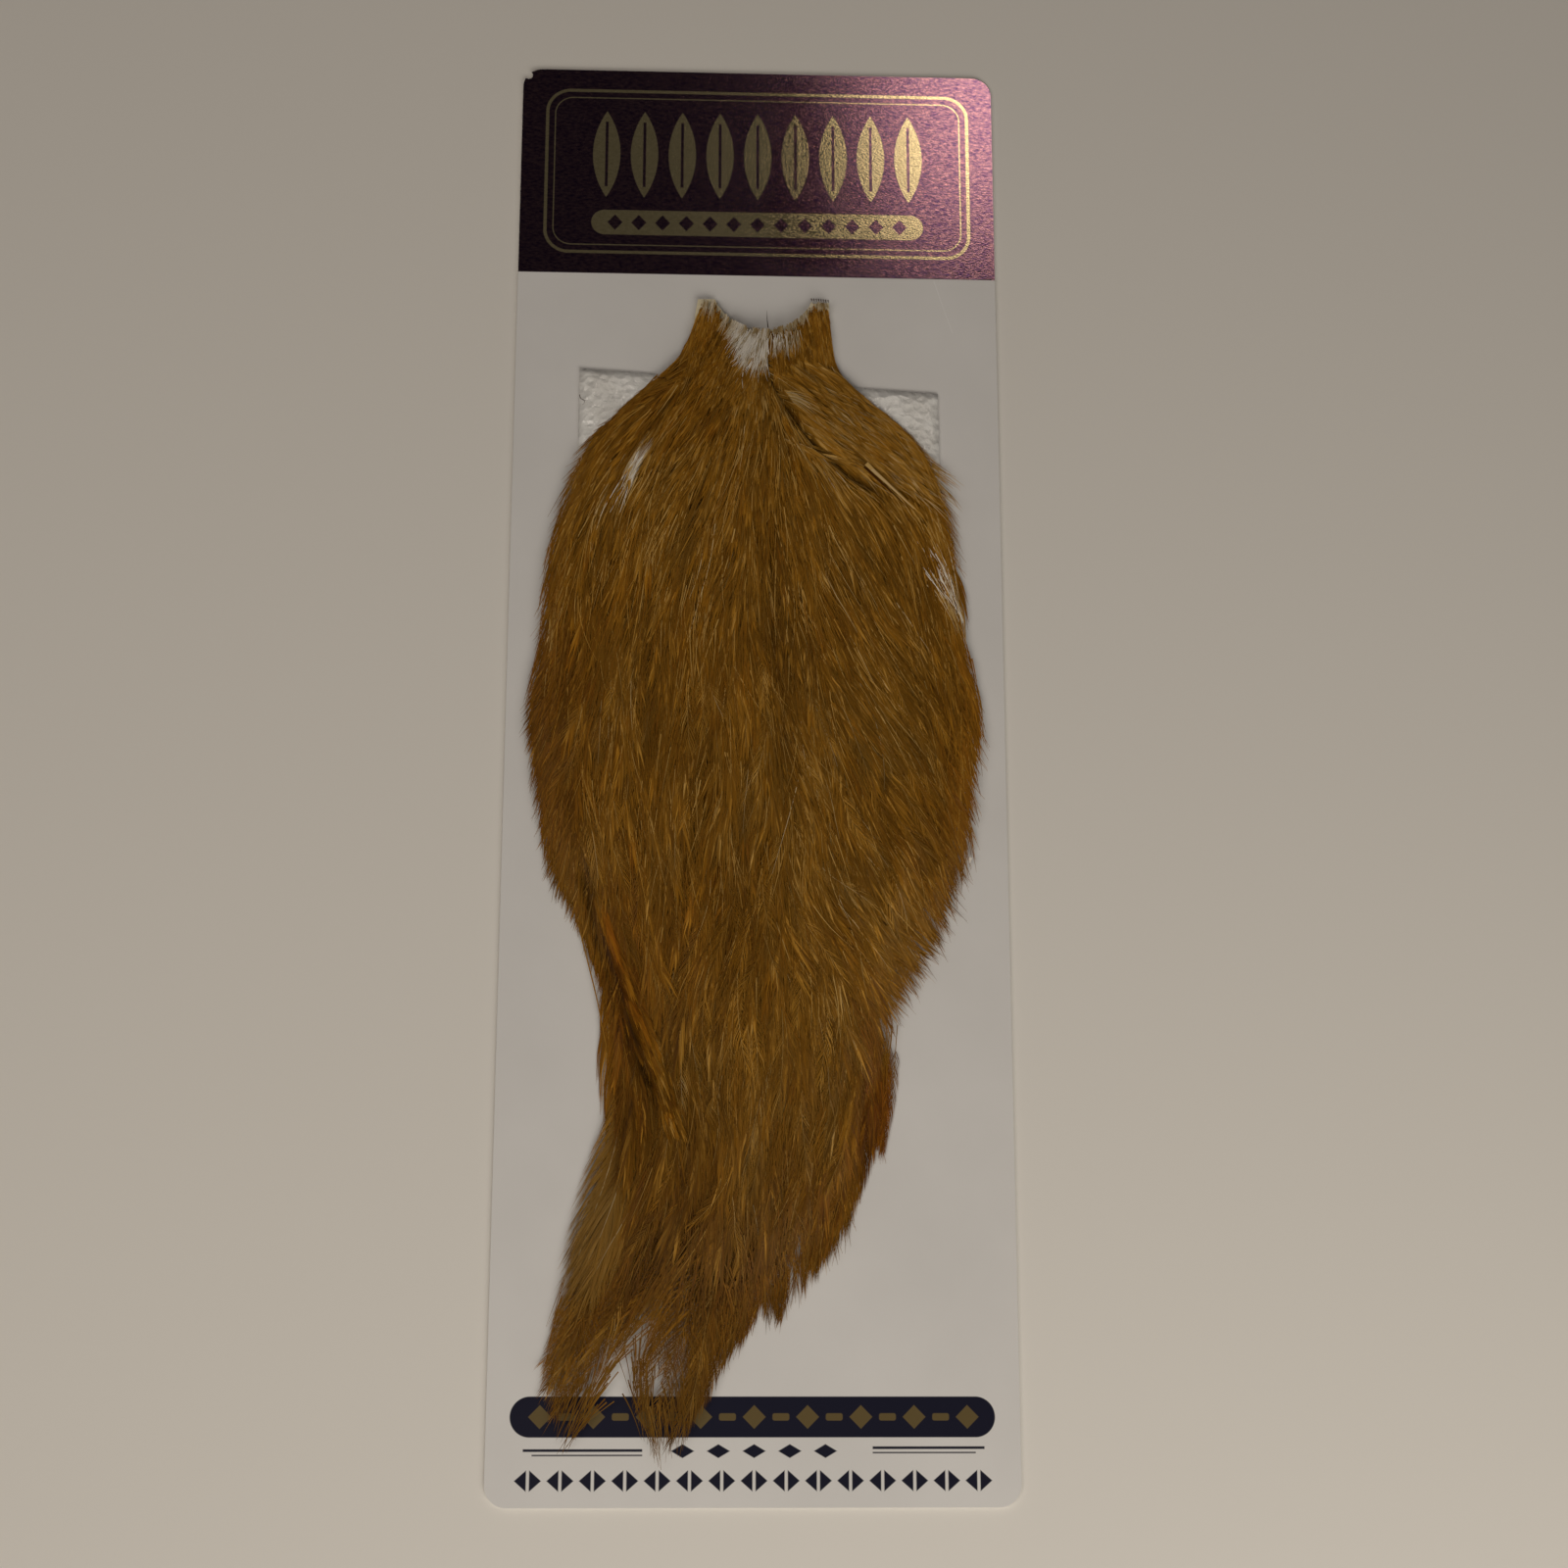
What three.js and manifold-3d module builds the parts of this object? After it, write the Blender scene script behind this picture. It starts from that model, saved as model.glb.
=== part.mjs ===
// A rooster cape on its shop card: the neck skin of a cock with its long feathers, lying on a sheet of
// padding on a stiff printed card. Millimetres. X runs across the card, Y up towards the card's header,
// Z out of the card's face. The origin is the centre of the card's underside, which lies on the table.

import * as THREE from "three";
import { mergeVertices } from "three/addons/utils/BufferGeometryUtils.js";
import Module from "manifold-3d";

const wasm = await Module();
wasm.setup();

const GAP = 0.3; // clearance between pieces that lie on each other

// Card
const CARD_WIDTH = 120;
const CARD_LENGTH = 354;
const CARD_THICKNESS = 0.8;
const CARD_CORNER_RADIUS = 5;
const CORNER_STEPS = 6;
const NICK = { x: -58.7, y: 175.2, radius: 1.1, sides: 10 }; // a chip out of the header's left corner

// Padding sheet between the card and the cape
const PAD_THICKNESS = 1.6;
const PAD_LEFT = -44;
const PAD_RIGHT = 46.5;
const PAD_TOP_LEFT = 93.8;
const PAD_TOP_RIGHT = 88.6;
const PAD_BOTTOM = -30;
const PAD_UNDERSIDE = CARD_THICKNESS + GAP;
const PAD_TOP = PAD_UNDERSIDE + PAD_THICKNESS;
const PAD_TAPER = 1; // how much further in its right side is at the top

// Cape
const CAPE_UNDERSIDE = CARD_THICKNESS + GAP;
const CAPE_TOP = 113.6; // the two horns of skin beside the notch end here
const NOTCH = { x: 1.5, y: 118.4, radius: 13, sides: 40 };
const RIM_HEIGHT = 2.5; // top of the feather bed at its sides
const CROWN_POWER = 2.4; // how flat the bed is across its middle
const BED_COLUMNS = 9;

// The feather bed under the locks: [y, left x, right x, crown height above the rim], neck to tail
const BED = [
  [CAPE_TOP, -14.8, 18.2, 1.2],
  [104, -16.3, 19.4, 2.4],
  [95, -18.4, 20.6, 3.6],
  [89, -24.5, 24.5, 4.6],
  [81, -34.0, 34.0, 6.0],
  [72, -42.5, 42.0, 7.2],
  [60, -46.0, 46.5, 8.4],
  [44, -49.5, 48.5, 9.4],
  [20, -52.5, 51.5, 10.2],
  [2, -54.5, 54.5, 10.4],
  [-24, -49.5, 52.0, 10.2],
  [-40, -42.5, 45.5, 9.6],
  [-56, -35.5, 37.0, 9.0],
  [-80, -31.0, 29.0, 7.8],
  [-98, -34.0, 23.5, 6.4],
  [-114, -38.0, 15.0, 4.8],
  [-126, -41.0, 4.0, 2.6],
  [-131, -40.0, -4.0, 1.0],
];

// How the feathers lie: [x, y, degrees from straight down the card, positive towards +X]. A mark reaches
// further along the cape than across it, and the nearest mark soon outweighs the rest.
const FLOW_REACH_ALONG = 1.25;
const FLOW_CORE = 3;
const FLOW_FALLOFF = 3;
const FLOW = [
  [-13, 108, -6], [-18, 97, -24], [-30, 84, -46], [-43, 71, -40], [-50, 52, -22], [-54, 26, -13],
  [-56, 4, -10], [-51, -24, -8], [-43, -42, 3], [-36, -60, 6], [-25, -72, 17], [-33, -78, 0], [-35, -92, -14],
  [-42, -118, -18], [-46, -145, -10], [1, 100, 0], [1, 60, 0], [2, 0, 0], [2, -60, -1], [-4, -92, -3],
  [-10, -120, -10], [-18, -150, -14], [18, 106, 6], [22, 92, 24], [33, 82, 48], [45, 68, 38],
  [50, 48, 18], [53, 24, 10], [56, 2, 6], [54, -18, 2], [45, -34, 24], [38, -52, 26], [31, -70, 10],
  [29, -90, 2], [17, -114, -5], [5, -130, -9], [-20, 70, -28], [-26, 40, -14], [-26, 0, -4],
  [-20, -40, 5], [20, 66, 30], [26, 40, 16], [25, 0, 9], [25, -34, 20],
];

// Rows of lock tips on the cape's back: [y, how many locks side by side]
const LOCK_ROWS = [
  [83, 2], [65, 3], [46, 5], [27, 4], [8, 5], [-11, 4], [-30, 5], [-49, 4], [-68, 3], [-87, 2], [-105, 2],
];
const ROW_SPREAD = 0.9; // the width that a row takes up, as a share of the bed's
const ROW_BOW = 6; // how much lower a row's middle hangs than its ends

// Tips of the locks along the left side and the right side, shoulders to waist
const SIDE_TIPS = [
  [-41.0, 69.5], [-48.5, 57], [-53.0, 41], [-55.8, 22], [-58.3, 5], [-55.6, -9], [-52.0, -26], [-48.4, -38],
  [-40.6, -51], [-36.8, -66], [-34.6, -82],
  [39.5, 71], [48.0, 58], [51.0, 42], [53.4, 25], [57.6, 0], [56.0, -14], [54.0, -32], [47.4, -44],
  [40.4, -57], [34.0, -68], [31.6, -82],
];

// Tips of the tail's locks and of the tuft on its right
const TAIL_TIPS = [
  [-38.0, -107], [-45.6, -130], [-47.8, -151], [-42.6, -164], [-36.0, -149], [-29.6, -137], [-24.6, -150],
  [-20.4, -168], [-15.2, -162], [-10.6, -153], [-4.2, -143.5], [5.6, -136.5], [16.4, -124.5], [23.8, -111],
  [31.4, -99],
];

const LOCK_STATIONS = 4;
const BACK_LOCK_WIDTH = 19;
const SIDE_LOCK_WIDTH = 12;
const TAIL_LOCK_WIDTH = 11;
const SIDE_LEAN = THREE.MathUtils.degToRad(9);
const LOCK_HEIGHT = 1.7;
const NECK_Y = 90;
const TAIL_Y = -130;
const SHORT_LOCK = 25; // its length at the neck
const LONG_LOCK = 58; // and at the tail
const ROOT_DEPTH = 1.4; // how deep a lock's root starts in the bed
const TIP_LIFT = 0.7; // how far its tip stands off the locks below
const BACK_LIFT = 0.4; // and a little more on the cape's back
const EDGE_DROP = 0.9; // how far a lock's sides lie under its neighbours
const THIN_EDGE = 0.5; // the least height of its sides, out over the card
const CREST = 0.4; // the width of its top, as a share of its own
const WIDTH_PHASE = { root: 0.22, tip: 0.92 }; // its width follows this stretch of a half sine
const TIP_WIDTH = 0.07; // as a share of its full width
const TIP_TAPER = 0.55;
const TIP_THINNING = 0.6;
const FULL_LIFT_AT = 0.7; // how far along it stands at its full lift

// The fold of feathers that lies over the right-hand side of the neck, from the split in the skin
const FOLD_TIPS = [[20, 66], [31, 61.5], [42, 60]];
const FOLD_ROOTS = [[5, 91], [9, 94], [14, 95]];
const FOLD_KNEE = { across: 0.35, down: 0.6 }; // it goes down at first and then sweeps outwards
const FOLD_LIFT = 2.0;
const FOLD_WIDTH = 10;

const CUTTER_HEIGHT = 60;

const feather = new THREE.MeshStandardMaterial({ color: 0x9a6a22, roughness: 0.6, metalness: 0 });
const cardboard = new THREE.MeshStandardMaterial({ color: 0xe9e6e0, roughness: 0.45, metalness: 0 });
const plastic = new THREE.MeshStandardMaterial({ color: 0xdcdcd6, roughness: 0.3, metalness: 0 });

// A closed geometry becomes a solid once its shared vertices are merged.
function toSolid(geometry) {
  const bare = geometry.clone();
  bare.deleteAttribute("normal");
  bare.deleteAttribute("uv");
  const merged = mergeVertices(bare, 1e-5);
  return new wasm.Manifold(new wasm.Mesh({
    numProp: 3,
    vertProperties: new Float32Array(merged.attributes.position.array),
    triVerts: new Uint32Array(merged.index.array),
  }));
}

function toMesh(solid, name, material) {
  const data = solid.getMesh();
  const geometry = new THREE.BufferGeometry();
  geometry.setAttribute("position", new THREE.BufferAttribute(new Float32Array(data.vertProperties), 3));
  geometry.setIndex(new THREE.BufferAttribute(new Uint32Array(data.triVerts), 1));
  geometry.computeVertexNormals();
  const mesh = new THREE.Mesh(geometry, material);
  mesh.name = name;
  return mesh;
}

// An outline in X and Y, extruded along Z from bottom to top.
function slab(shape, bottom, top) {
  const geometry = new THREE.ExtrudeGeometry(shape, {
    depth: top - bottom,
    bevelEnabled: false,
    curveSegments: CORNER_STEPS,
  });
  geometry.translate(0, 0, bottom);
  return geometry;
}

// Skins a row of rings that have the same number of points, and closes both ends with a fan.
function loft(rings) {
  const sides = rings[0].length;
  const positions = rings.flat().flatMap((point) => [point.x, point.y, point.z]);
  const index = [];
  for (let ring = 0; ring + 1 < rings.length; ring += 1) {
    for (let side = 0; side < sides; side += 1) {
      const next = (side + 1) % sides;
      const a = ring * sides + side;
      const b = ring * sides + next;
      index.push(a, b, b + sides, a, b + sides, a + sides);
    }
  }
  const last = (rings.length - 1) * sides;
  for (let side = 1; side + 1 < sides; side += 1) {
    index.push(0, side + 1, side, last, last + side, last + side + 1);
  }
  const geometry = new THREE.BufferGeometry();
  geometry.setAttribute("position", new THREE.Float32BufferAttribute(positions, 3));
  geometry.setIndex(index);
  return geometry;
}

// The bed's left side, right side and crown at one y.
function bedAt(y) {
  const clamped = THREE.MathUtils.clamp(y, BED[BED.length - 1][0], BED[0][0]);
  const below = BED.findIndex((row) => row[0] <= clamped);
  const low = BED[below];
  const high = BED[Math.max(below - 1, 0)];
  const share = high === low ? 0 : (clamped - low[0]) / (high[0] - low[0]);
  const blend = (column) => THREE.MathUtils.lerp(low[column], high[column], share);
  return { left: blend(1), right: blend(2), crown: blend(3) };
}

// Height of the feather bed's top at a point, flat at the rim's height beside it.
function bedHeight(x, y) {
  const { left, right, crown } = bedAt(y);
  const across = Math.min(1, Math.abs((2 * x - left - right) / (right - left)));
  return RIM_HEIGHT + crown * (1 - across ** CROWN_POWER);
}

// The direction in which the feathers lie, as a blend of the nearest flow marks.
function flowAngle(x, y) {
  let sum = 0;
  let weights = 0;
  for (const [markX, markY, degrees] of FLOW) {
    const distance = Math.hypot(x - markX, (y - markY) / FLOW_REACH_ALONG);
    const weight = 1 / (distance + FLOW_CORE) ** FLOW_FALLOFF;
    sum += degrees * weight;
    weights += weight;
  }
  return THREE.MathUtils.degToRad(sum / weights);
}

// The path of a lock from its tip back up to its root, with the flow.
function pathFromTip(tipX, tipY, length, lean = 0) {
  const step = length / LOCK_STATIONS;
  const path = [new THREE.Vector2(tipX, tipY)];
  for (let count = 0; count < LOCK_STATIONS; count += 1) {
    const here = path[path.length - 1];
    const angle = flowAngle(here.x, here.y) + lean;
    const rootY = Math.min(here.y + Math.cos(angle) * step, CAPE_TOP - 1);
    path.push(new THREE.Vector2(here.x - Math.sin(angle) * step, rootY));
  }
  return path.reverse();
}

// One lock: a ridge that rises out of the bed at its root, swells and comes to a tip that lies on the
// locks below. Its sides go straight down, so that no sealed hollow stays between it and its neighbours.
function lock(path, width, lift) {
  const rings = path.map((point, station) => {
    const along = station / (path.length - 1);
    const before = path[Math.max(station - 1, 0)];
    const after = path[Math.min(station + 1, path.length - 1)];
    const side = new THREE.Vector2(before.y - after.y, after.x - before.x).normalize();
    const phase = THREE.MathUtils.lerp(WIDTH_PHASE.root, WIDTH_PHASE.tip, along);
    const spread = Math.sin(Math.PI * phase) * (1 - TIP_TAPER * along ** 4);
    const half = (width / 2) * Math.max(TIP_WIDTH, spread);
    const rise = THREE.MathUtils.lerp(-ROOT_DEPTH, TIP_LIFT + lift, Math.min(1, along / FULL_LIFT_AT));
    const edge = Math.max(bedHeight(point.x, point.y) - EDGE_DROP + rise, CAPE_UNDERSIDE + THIN_EDGE);
    const crest = edge + LOCK_HEIGHT * (1 - TIP_THINNING * along);
    const corners = [
      [-1, CAPE_UNDERSIDE], [1, CAPE_UNDERSIDE], [1, edge], [CREST, crest], [-CREST, crest], [-1, edge],
    ];
    return corners.map(([across, z]) => new THREE.Vector3(
      point.x + side.x * half * across,
      point.y + side.y * half * across,
      z,
    ));
  });
  return toSolid(loft(rings));
}

function featherBed() {
  const rings = BED.map(([y, left, right]) => {
    const ring = [new THREE.Vector3(left, y, CAPE_UNDERSIDE), new THREE.Vector3(right, y, CAPE_UNDERSIDE)];
    for (let column = 0; column < BED_COLUMNS; column += 1) {
      const x = THREE.MathUtils.lerp(right, left, column / (BED_COLUMNS - 1));
      ring.push(new THREE.Vector3(x, y, bedHeight(x, y)));
    }
    return ring;
  });
  return toSolid(loft(rings));
}

function lockLength(y) {
  const clamped = THREE.MathUtils.clamp(y, TAIL_Y, NECK_Y);
  return THREE.MathUtils.mapLinear(clamped, NECK_Y, TAIL_Y, SHORT_LOCK, LONG_LOCK);
}

function backLocks() {
  return LOCK_ROWS.flatMap(([y, count]) => {
    const { left, right } = bedAt(y);
    const middle = (left + right) / 2;
    const half = ((right - left) / 2) * ROW_SPREAD;
    return Array.from({ length: count }, (unused, place) => {
      const across = (2 * place + 1) / count - 1;
      const tipY = y - ROW_BOW * (1 - across ** 2);
      return lock(pathFromTip(middle + half * across, tipY, lockLength(y)), BACK_LOCK_WIDTH, BACK_LIFT);
    });
  });
}

// Locks at the cape's edge, which lean outwards from the general flow.
function edgeLocks(tips, width, lean) {
  return tips.map(([x, y]) => lock(pathFromTip(x, y, lockLength(y), Math.sign(x) * lean), width, 0));
}

function foldLocks() {
  return FOLD_TIPS.map(([tipX, tipY], place) => {
    const [rootX, rootY] = FOLD_ROOTS[place];
    const root = new THREE.Vector2(rootX, rootY);
    const tip = new THREE.Vector2(tipX, tipY);
    const kneeX = THREE.MathUtils.lerp(rootX, tipX, FOLD_KNEE.across);
    const knee = new THREE.Vector2(kneeX, THREE.MathUtils.lerp(rootY, tipY, FOLD_KNEE.down));
    const bend = new THREE.QuadraticBezierCurve(root, knee, tip);
    return lock(bend.getPoints(LOCK_STATIONS), FOLD_WIDTH, FOLD_LIFT);
  });
}

function cardShape() {
  const halfWidth = CARD_WIDTH / 2;
  const halfLength = CARD_LENGTH / 2;
  const inX = halfWidth - CARD_CORNER_RADIUS;
  const inY = halfLength - CARD_CORNER_RADIUS;
  const shape = new THREE.Shape();
  shape.moveTo(-inX, -halfLength);
  shape.lineTo(inX, -halfLength);
  shape.absarc(inX, -inY, CARD_CORNER_RADIUS, -Math.PI / 2, 0);
  shape.lineTo(halfWidth, inY);
  shape.absarc(inX, inY, CARD_CORNER_RADIUS, 0, Math.PI / 2);
  shape.lineTo(-inX, halfLength);
  shape.absarc(-inX, inY, CARD_CORNER_RADIUS, Math.PI / 2, Math.PI);
  shape.lineTo(-halfWidth, -inY);
  shape.absarc(-inX, -inY, CARD_CORNER_RADIUS, Math.PI, 1.5 * Math.PI);
  return shape;
}

function padShape(grow) {
  const shape = new THREE.Shape();
  shape.moveTo(PAD_LEFT - grow, PAD_BOTTOM - grow);
  shape.lineTo(PAD_RIGHT + grow, PAD_BOTTOM - grow);
  shape.lineTo(PAD_RIGHT - PAD_TAPER + grow, PAD_TOP_RIGHT + grow);
  shape.lineTo(PAD_LEFT - grow, PAD_TOP_LEFT + grow);
  return shape;
}

// An upright cylinder, tall enough to cut through any piece.
function roundCutter({ x, y, radius, sides }) {
  const geometry = new THREE.CylinderGeometry(radius, radius, CUTTER_HEIGHT, sides);
  geometry.rotateX(Math.PI / 2);
  geometry.translate(x, y, 0);
  return toSolid(geometry);
}

function backingCard() {
  const blank = toSolid(slab(cardShape(), 0, CARD_THICKNESS));
  return toMesh(blank.subtract(roundCutter(NICK)), "backing_card", cardboard);
}

function paddingSheet() {
  return toMesh(toSolid(slab(padShape(0), PAD_UNDERSIDE, PAD_TOP)), "padding_sheet", plastic);
}

function cape() {
  const locks = [
    ...backLocks(),
    ...edgeLocks(SIDE_TIPS, SIDE_LOCK_WIDTH, SIDE_LEAN),
    ...edgeLocks(TAIL_TIPS, TAIL_LOCK_WIDTH, 0),
    ...foldLocks(),
  ];
  const feathered = locks.reduce((whole, one) => whole.add(one), featherBed());
  const padSpace = toSolid(slab(padShape(GAP), 0, PAD_TOP + GAP));
  const lying = feathered.subtract(padSpace).subtract(roundCutter(NOTCH));
  return toMesh(lying, "cape", feather);
}

const group = new THREE.Group();
group.add(backingCard(), paddingSheet(), cape());

export default group;
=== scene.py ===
"""The looks of the rooster cape on its card: printed card, crumpled padding, skin and feathers."""

import math

import bpy
import numpy as np
from mathutils import Matrix, Vector


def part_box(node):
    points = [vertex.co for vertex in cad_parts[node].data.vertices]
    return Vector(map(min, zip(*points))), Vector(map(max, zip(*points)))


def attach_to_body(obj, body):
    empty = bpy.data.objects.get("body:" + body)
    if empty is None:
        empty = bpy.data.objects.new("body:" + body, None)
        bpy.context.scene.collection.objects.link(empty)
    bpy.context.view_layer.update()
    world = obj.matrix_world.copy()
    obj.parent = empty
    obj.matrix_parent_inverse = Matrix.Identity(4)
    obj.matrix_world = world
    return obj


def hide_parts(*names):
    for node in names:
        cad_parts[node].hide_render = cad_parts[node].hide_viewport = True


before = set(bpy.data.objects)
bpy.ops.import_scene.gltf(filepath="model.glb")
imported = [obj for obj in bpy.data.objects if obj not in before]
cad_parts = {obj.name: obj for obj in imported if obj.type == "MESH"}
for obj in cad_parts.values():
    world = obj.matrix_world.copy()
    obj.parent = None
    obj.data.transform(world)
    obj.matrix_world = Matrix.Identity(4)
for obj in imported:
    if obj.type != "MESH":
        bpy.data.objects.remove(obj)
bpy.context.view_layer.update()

MM = 0.001
SEED = 7

# Camera, fitted to the card's four corners in the photograph: places in mm in the frame of the card
CAMERA_AT = (-17.4, -150.4, 567.2)
CAMERA_TARGET = (6.7, -11.0, 0.8)
CAMERA_LENS = 56.1
CAMERA_SENSOR = 36.0

# Card, in mm
card_low, card_high = [Vector(corner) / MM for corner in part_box("backing_card")]
CARD_TOP = card_high.z
HEADER_EDGE = 120.6
BAND = {"x": -0.2, "y": -157.4, "half_width": 54.5, "half_height": 4.45}

# Padding sheet, in mm
pad_low, pad_high = [Vector(corner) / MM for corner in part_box("padding_sheet")]

# The feather bed, about as in the solids: y, left, right and crown height above the rim, in mm
BED = np.array([
    [113.6, -14.8, 18.2, 1.2],
    [104, -16.3, 19.4, 2.4],
    [95, -20.0, 18.2, 3.6],
    [89, -27.5, 21.8, 4.6],
    [81, -36.8, 34.0, 6.0],
    [72, -44.2, 42.0, 7.2],
    [60, -46.0, 46.5, 8.4],
    [44, -49.5, 48.5, 9.4],
    [20, -52.5, 51.5, 10.2],
    [2, -54.5, 54.5, 10.4],
    [-24, -49.5, 52.0, 10.2],
    [-40, -42.5, 45.5, 9.6],
    [-56, -35.5, 37.0, 9.0],
    [-80, -31.0, 29.0, 7.8],
    [-98, -34.0, 23.5, 6.4],
    [-114, -38.0, 15.0, 4.8],
    [-126, -41.0, 4.0, 2.6],
    [-131, -40.0, -4.0, 1.0],
    [-168, -46.0, -14.0, 0.4],
])
RIM_HEIGHT = 2.5
CROWN_POWER = 2.4
NOTCH = {"x": 1.5, "y": 118.4, "radius": 13.0}
HORN_TOP = 113.4

# How the feathers lie, as in the solids: x, y and degrees from straight down the card
FLOW = np.array([
    [-17, 108, -4], [-13, 108, -10], [-10, 103, -22], [-5, 101, -36], [-1, 101, -30], [3.5, 101, 2],
    [8, 104, 8], [14, 108, 8], [18, 106, 6], [-17, 98, -10], [-11, 95, -26], [-5, 93, -36],
    [5, 93, 4], [11, 93, 12], [18, 97, 10], [-21, 91, -36], [-15, 88, -30], [-8, 86, -26],
    [0, 85, -6], [4, 84, 14], [15, 88, 26], [22, 90, 36], [-28, 86, -54], [-38, 78, -50],
    [-46, 70, -38], [-50, 58, -22], [-54, 40, -12], [-20, 80, -40], [-30, 74, -40], [-38, 64, -24],
    [-28, 62, -30], [-18, 68, -32], [-10, 70, -22], [0, 70, -2], [8, 74, 26], [14, 68, 34],
    [20, 84, 42], [28, 78, 48], [37, 74, 48], [45, 66, 42], [49, 56, 22], [30, 66, 44],
    [24, 60, 32], [36, 60, 34], [42, 52, 16], [-10, 55, -22], [-20, 52, -26], [-30, 48, -14],
    [-40, 45, -6], [-48, 35, -6], [0, 52, -2], [10, 55, 18], [18, 50, 26], [28, 48, 20],
    [36, 42, 10], [46, 40, 8], [-10, 38, -16], [-20, 35, -18], [-32, 30, -6], [0, 36, 0],
    [10, 36, 14], [20, 32, 26], [30, 28, 30], [42, 25, 12], [51, 22, 8], [-54, 18, -16],
    [-57, 6, -16], [-44, 14, -8], [-32, 12, -2], [-20, 15, -4], [-8, 15, -4], [4, 15, 2],
    [14, 12, 14], [24, 10, 32], [34, 6, 40], [44, 4, 22], [54, 0, 4], [-52, -12, -8],
    [-42, -8, -6], [-30, -5, 2], [-20, -6, -2], [-10, -5, -4], [0, -5, 0], [10, -6, 10],
    [20, -8, 24], [30, -10, 34], [40, -12, 30], [50, -16, 10], [-48, -30, -2], [-38, -24, 4],
    [-28, -26, 10], [-18, -24, 4], [-8, -22, -10], [0, -25, -22], [5, -28, -8], [12, -24, 12],
    [22, -26, 30], [32, -28, 40], [42, -30, 34], [52, -30, 8], [-44, -40, 2], [-36, -42, 14],
    [-28, -42, 14], [-18, -42, 6], [-8, -42, -10], [2, -42, 0], [10, -44, 22], [20, -46, 38],
    [30, -48, 46], [40, -50, 40], [-32, -56, 17], [-22, -56, 6], [-14, -58, -34], [-6, -58, -14],
    [4, -60, 4], [12, -58, 24], [22, -60, 38], [32, -62, 38], [-35, -70, -2], [-28, -72, 17],
    [-19, -70, -20], [-10, -72, -24], [0, -74, -4], [10, -74, 8], [20, -74, 14], [29, -76, 8],
    [-34, -86, -8], [-24, -84, 15], [-16, -86, 14], [-9, -90, 16], [0, -90, -10], [10, -90, -2],
    [20, -90, -6], [29, -92, -4], [-38, -102, -16], [-30, -104, -12], [-22, -102, -8], [-13, -104, 0],
    [-4, -106, -8], [6, -104, -10], [16, -106, -8], [24, -108, -6], [-42, -120, -22], [-34, -120, -28],
    [-26, -118, -26], [-18, -120, -20], [-10, -122, -10], [0, -122, -8], [10, -120, -12], [-46, -136, -18],
    [-38, -136, -26], [-30, -134, -30], [-22, -136, -14], [-12, -138, -10], [-2, -136, -8], [-46, -155, -12],
    [-20, -155, -8],
], float)

# The cape's outline, clockwise from the left horn over the notch, in mm
LEFT_SIDE = [
    (-14.8, 113.6), (-16.5, 102.8), (-19.8, 94.6), (-27.0, 89.4), (-36.4, 81.6), (-44.6, 72.5), (-47.5, 62.5),
    (-50.5, 51), (-52.4, 38), (-53.8, 18), (-56.4, 7.8), (-55.6, -1), (-54.1, -10), (-52, -25), (-49.8, -35),
    (-45.3, -42.7), (-40.4, -51), (-37.5, -61), (-35.2, -72), (-34.5, -81), (-37.3, -93), (-39, -104),
    (-43.2, -119), (-45.8, -130), (-48.1, -147), (-47, -154), (-43, -165), (-39, -158), (-36, -149), (-31, -141),
]
RIGHT_SIDE = [
    (-23.3, -130), (-27, -147), (-26, -156), (-20.7, -168.5), (-15.3, -163.7), (-11.3, -154), (-8.3, -148.5),
    (-4.6, -144), (2.1, -134.5), (5.7, -137), (11.3, -131), (15.3, -123.5), (17.1, -124.5), (22.1, -119),
    (24, -110.7), (25.5, -101), (30.3, -99.5), (29.2, -85), (30.0, -77.6), (31.5, -70.7), (36.1, -63.6),
    (39.7, -57.3), (44.4, -50.3), (47, -44), (49.5, -36), (52.5, -31), (52.9, -24), (53.9, -10), (55.8, -1),
    (55.0, 7), (51.6, 21), (49.2, 31), (50.0, 44.5), (49.4, 54), (46.0, 64), (44.3, 71), (37.7, 78.6),
    (29.2, 85), (18.8, 91.0), (17.6, 97), (18.8, 104.5), (18.2, 113),
]

rng = np.random.default_rng(SEED)


# Camera, lights and floor

def look_at(obj, place, target):
    """Turns a camera or light to its target with the card's +Y upwards."""
    back = (Vector(place) - Vector(target)).normalized()
    right = Vector((0, 1, 0)).cross(back).normalized()
    turn = Matrix((right, back.cross(right), back)).transposed()
    obj.matrix_world = Matrix.Translation(Vector(place) * MM) @ turn.to_4x4()


def add_camera():
    data = bpy.data.cameras.new("camera")
    data.lens = CAMERA_LENS
    data.sensor_width = CAMERA_SENSOR
    data.clip_start = 0.01
    camera = bpy.data.objects.new("camera", data)
    bpy.context.scene.collection.objects.link(camera)
    look_at(camera, CAMERA_AT, CAMERA_TARGET)
    bpy.context.scene.camera = camera


def add_light(name, place, target, size, watts, colour):
    data = bpy.data.lights.new(name, "AREA")
    data.shape = "RECTANGLE"
    data.size, data.size_y = size
    data.energy = watts
    data.color = colour
    light = bpy.data.objects.new(name, data)
    bpy.context.scene.collection.objects.link(light)
    look_at(light, place, target)


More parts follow.
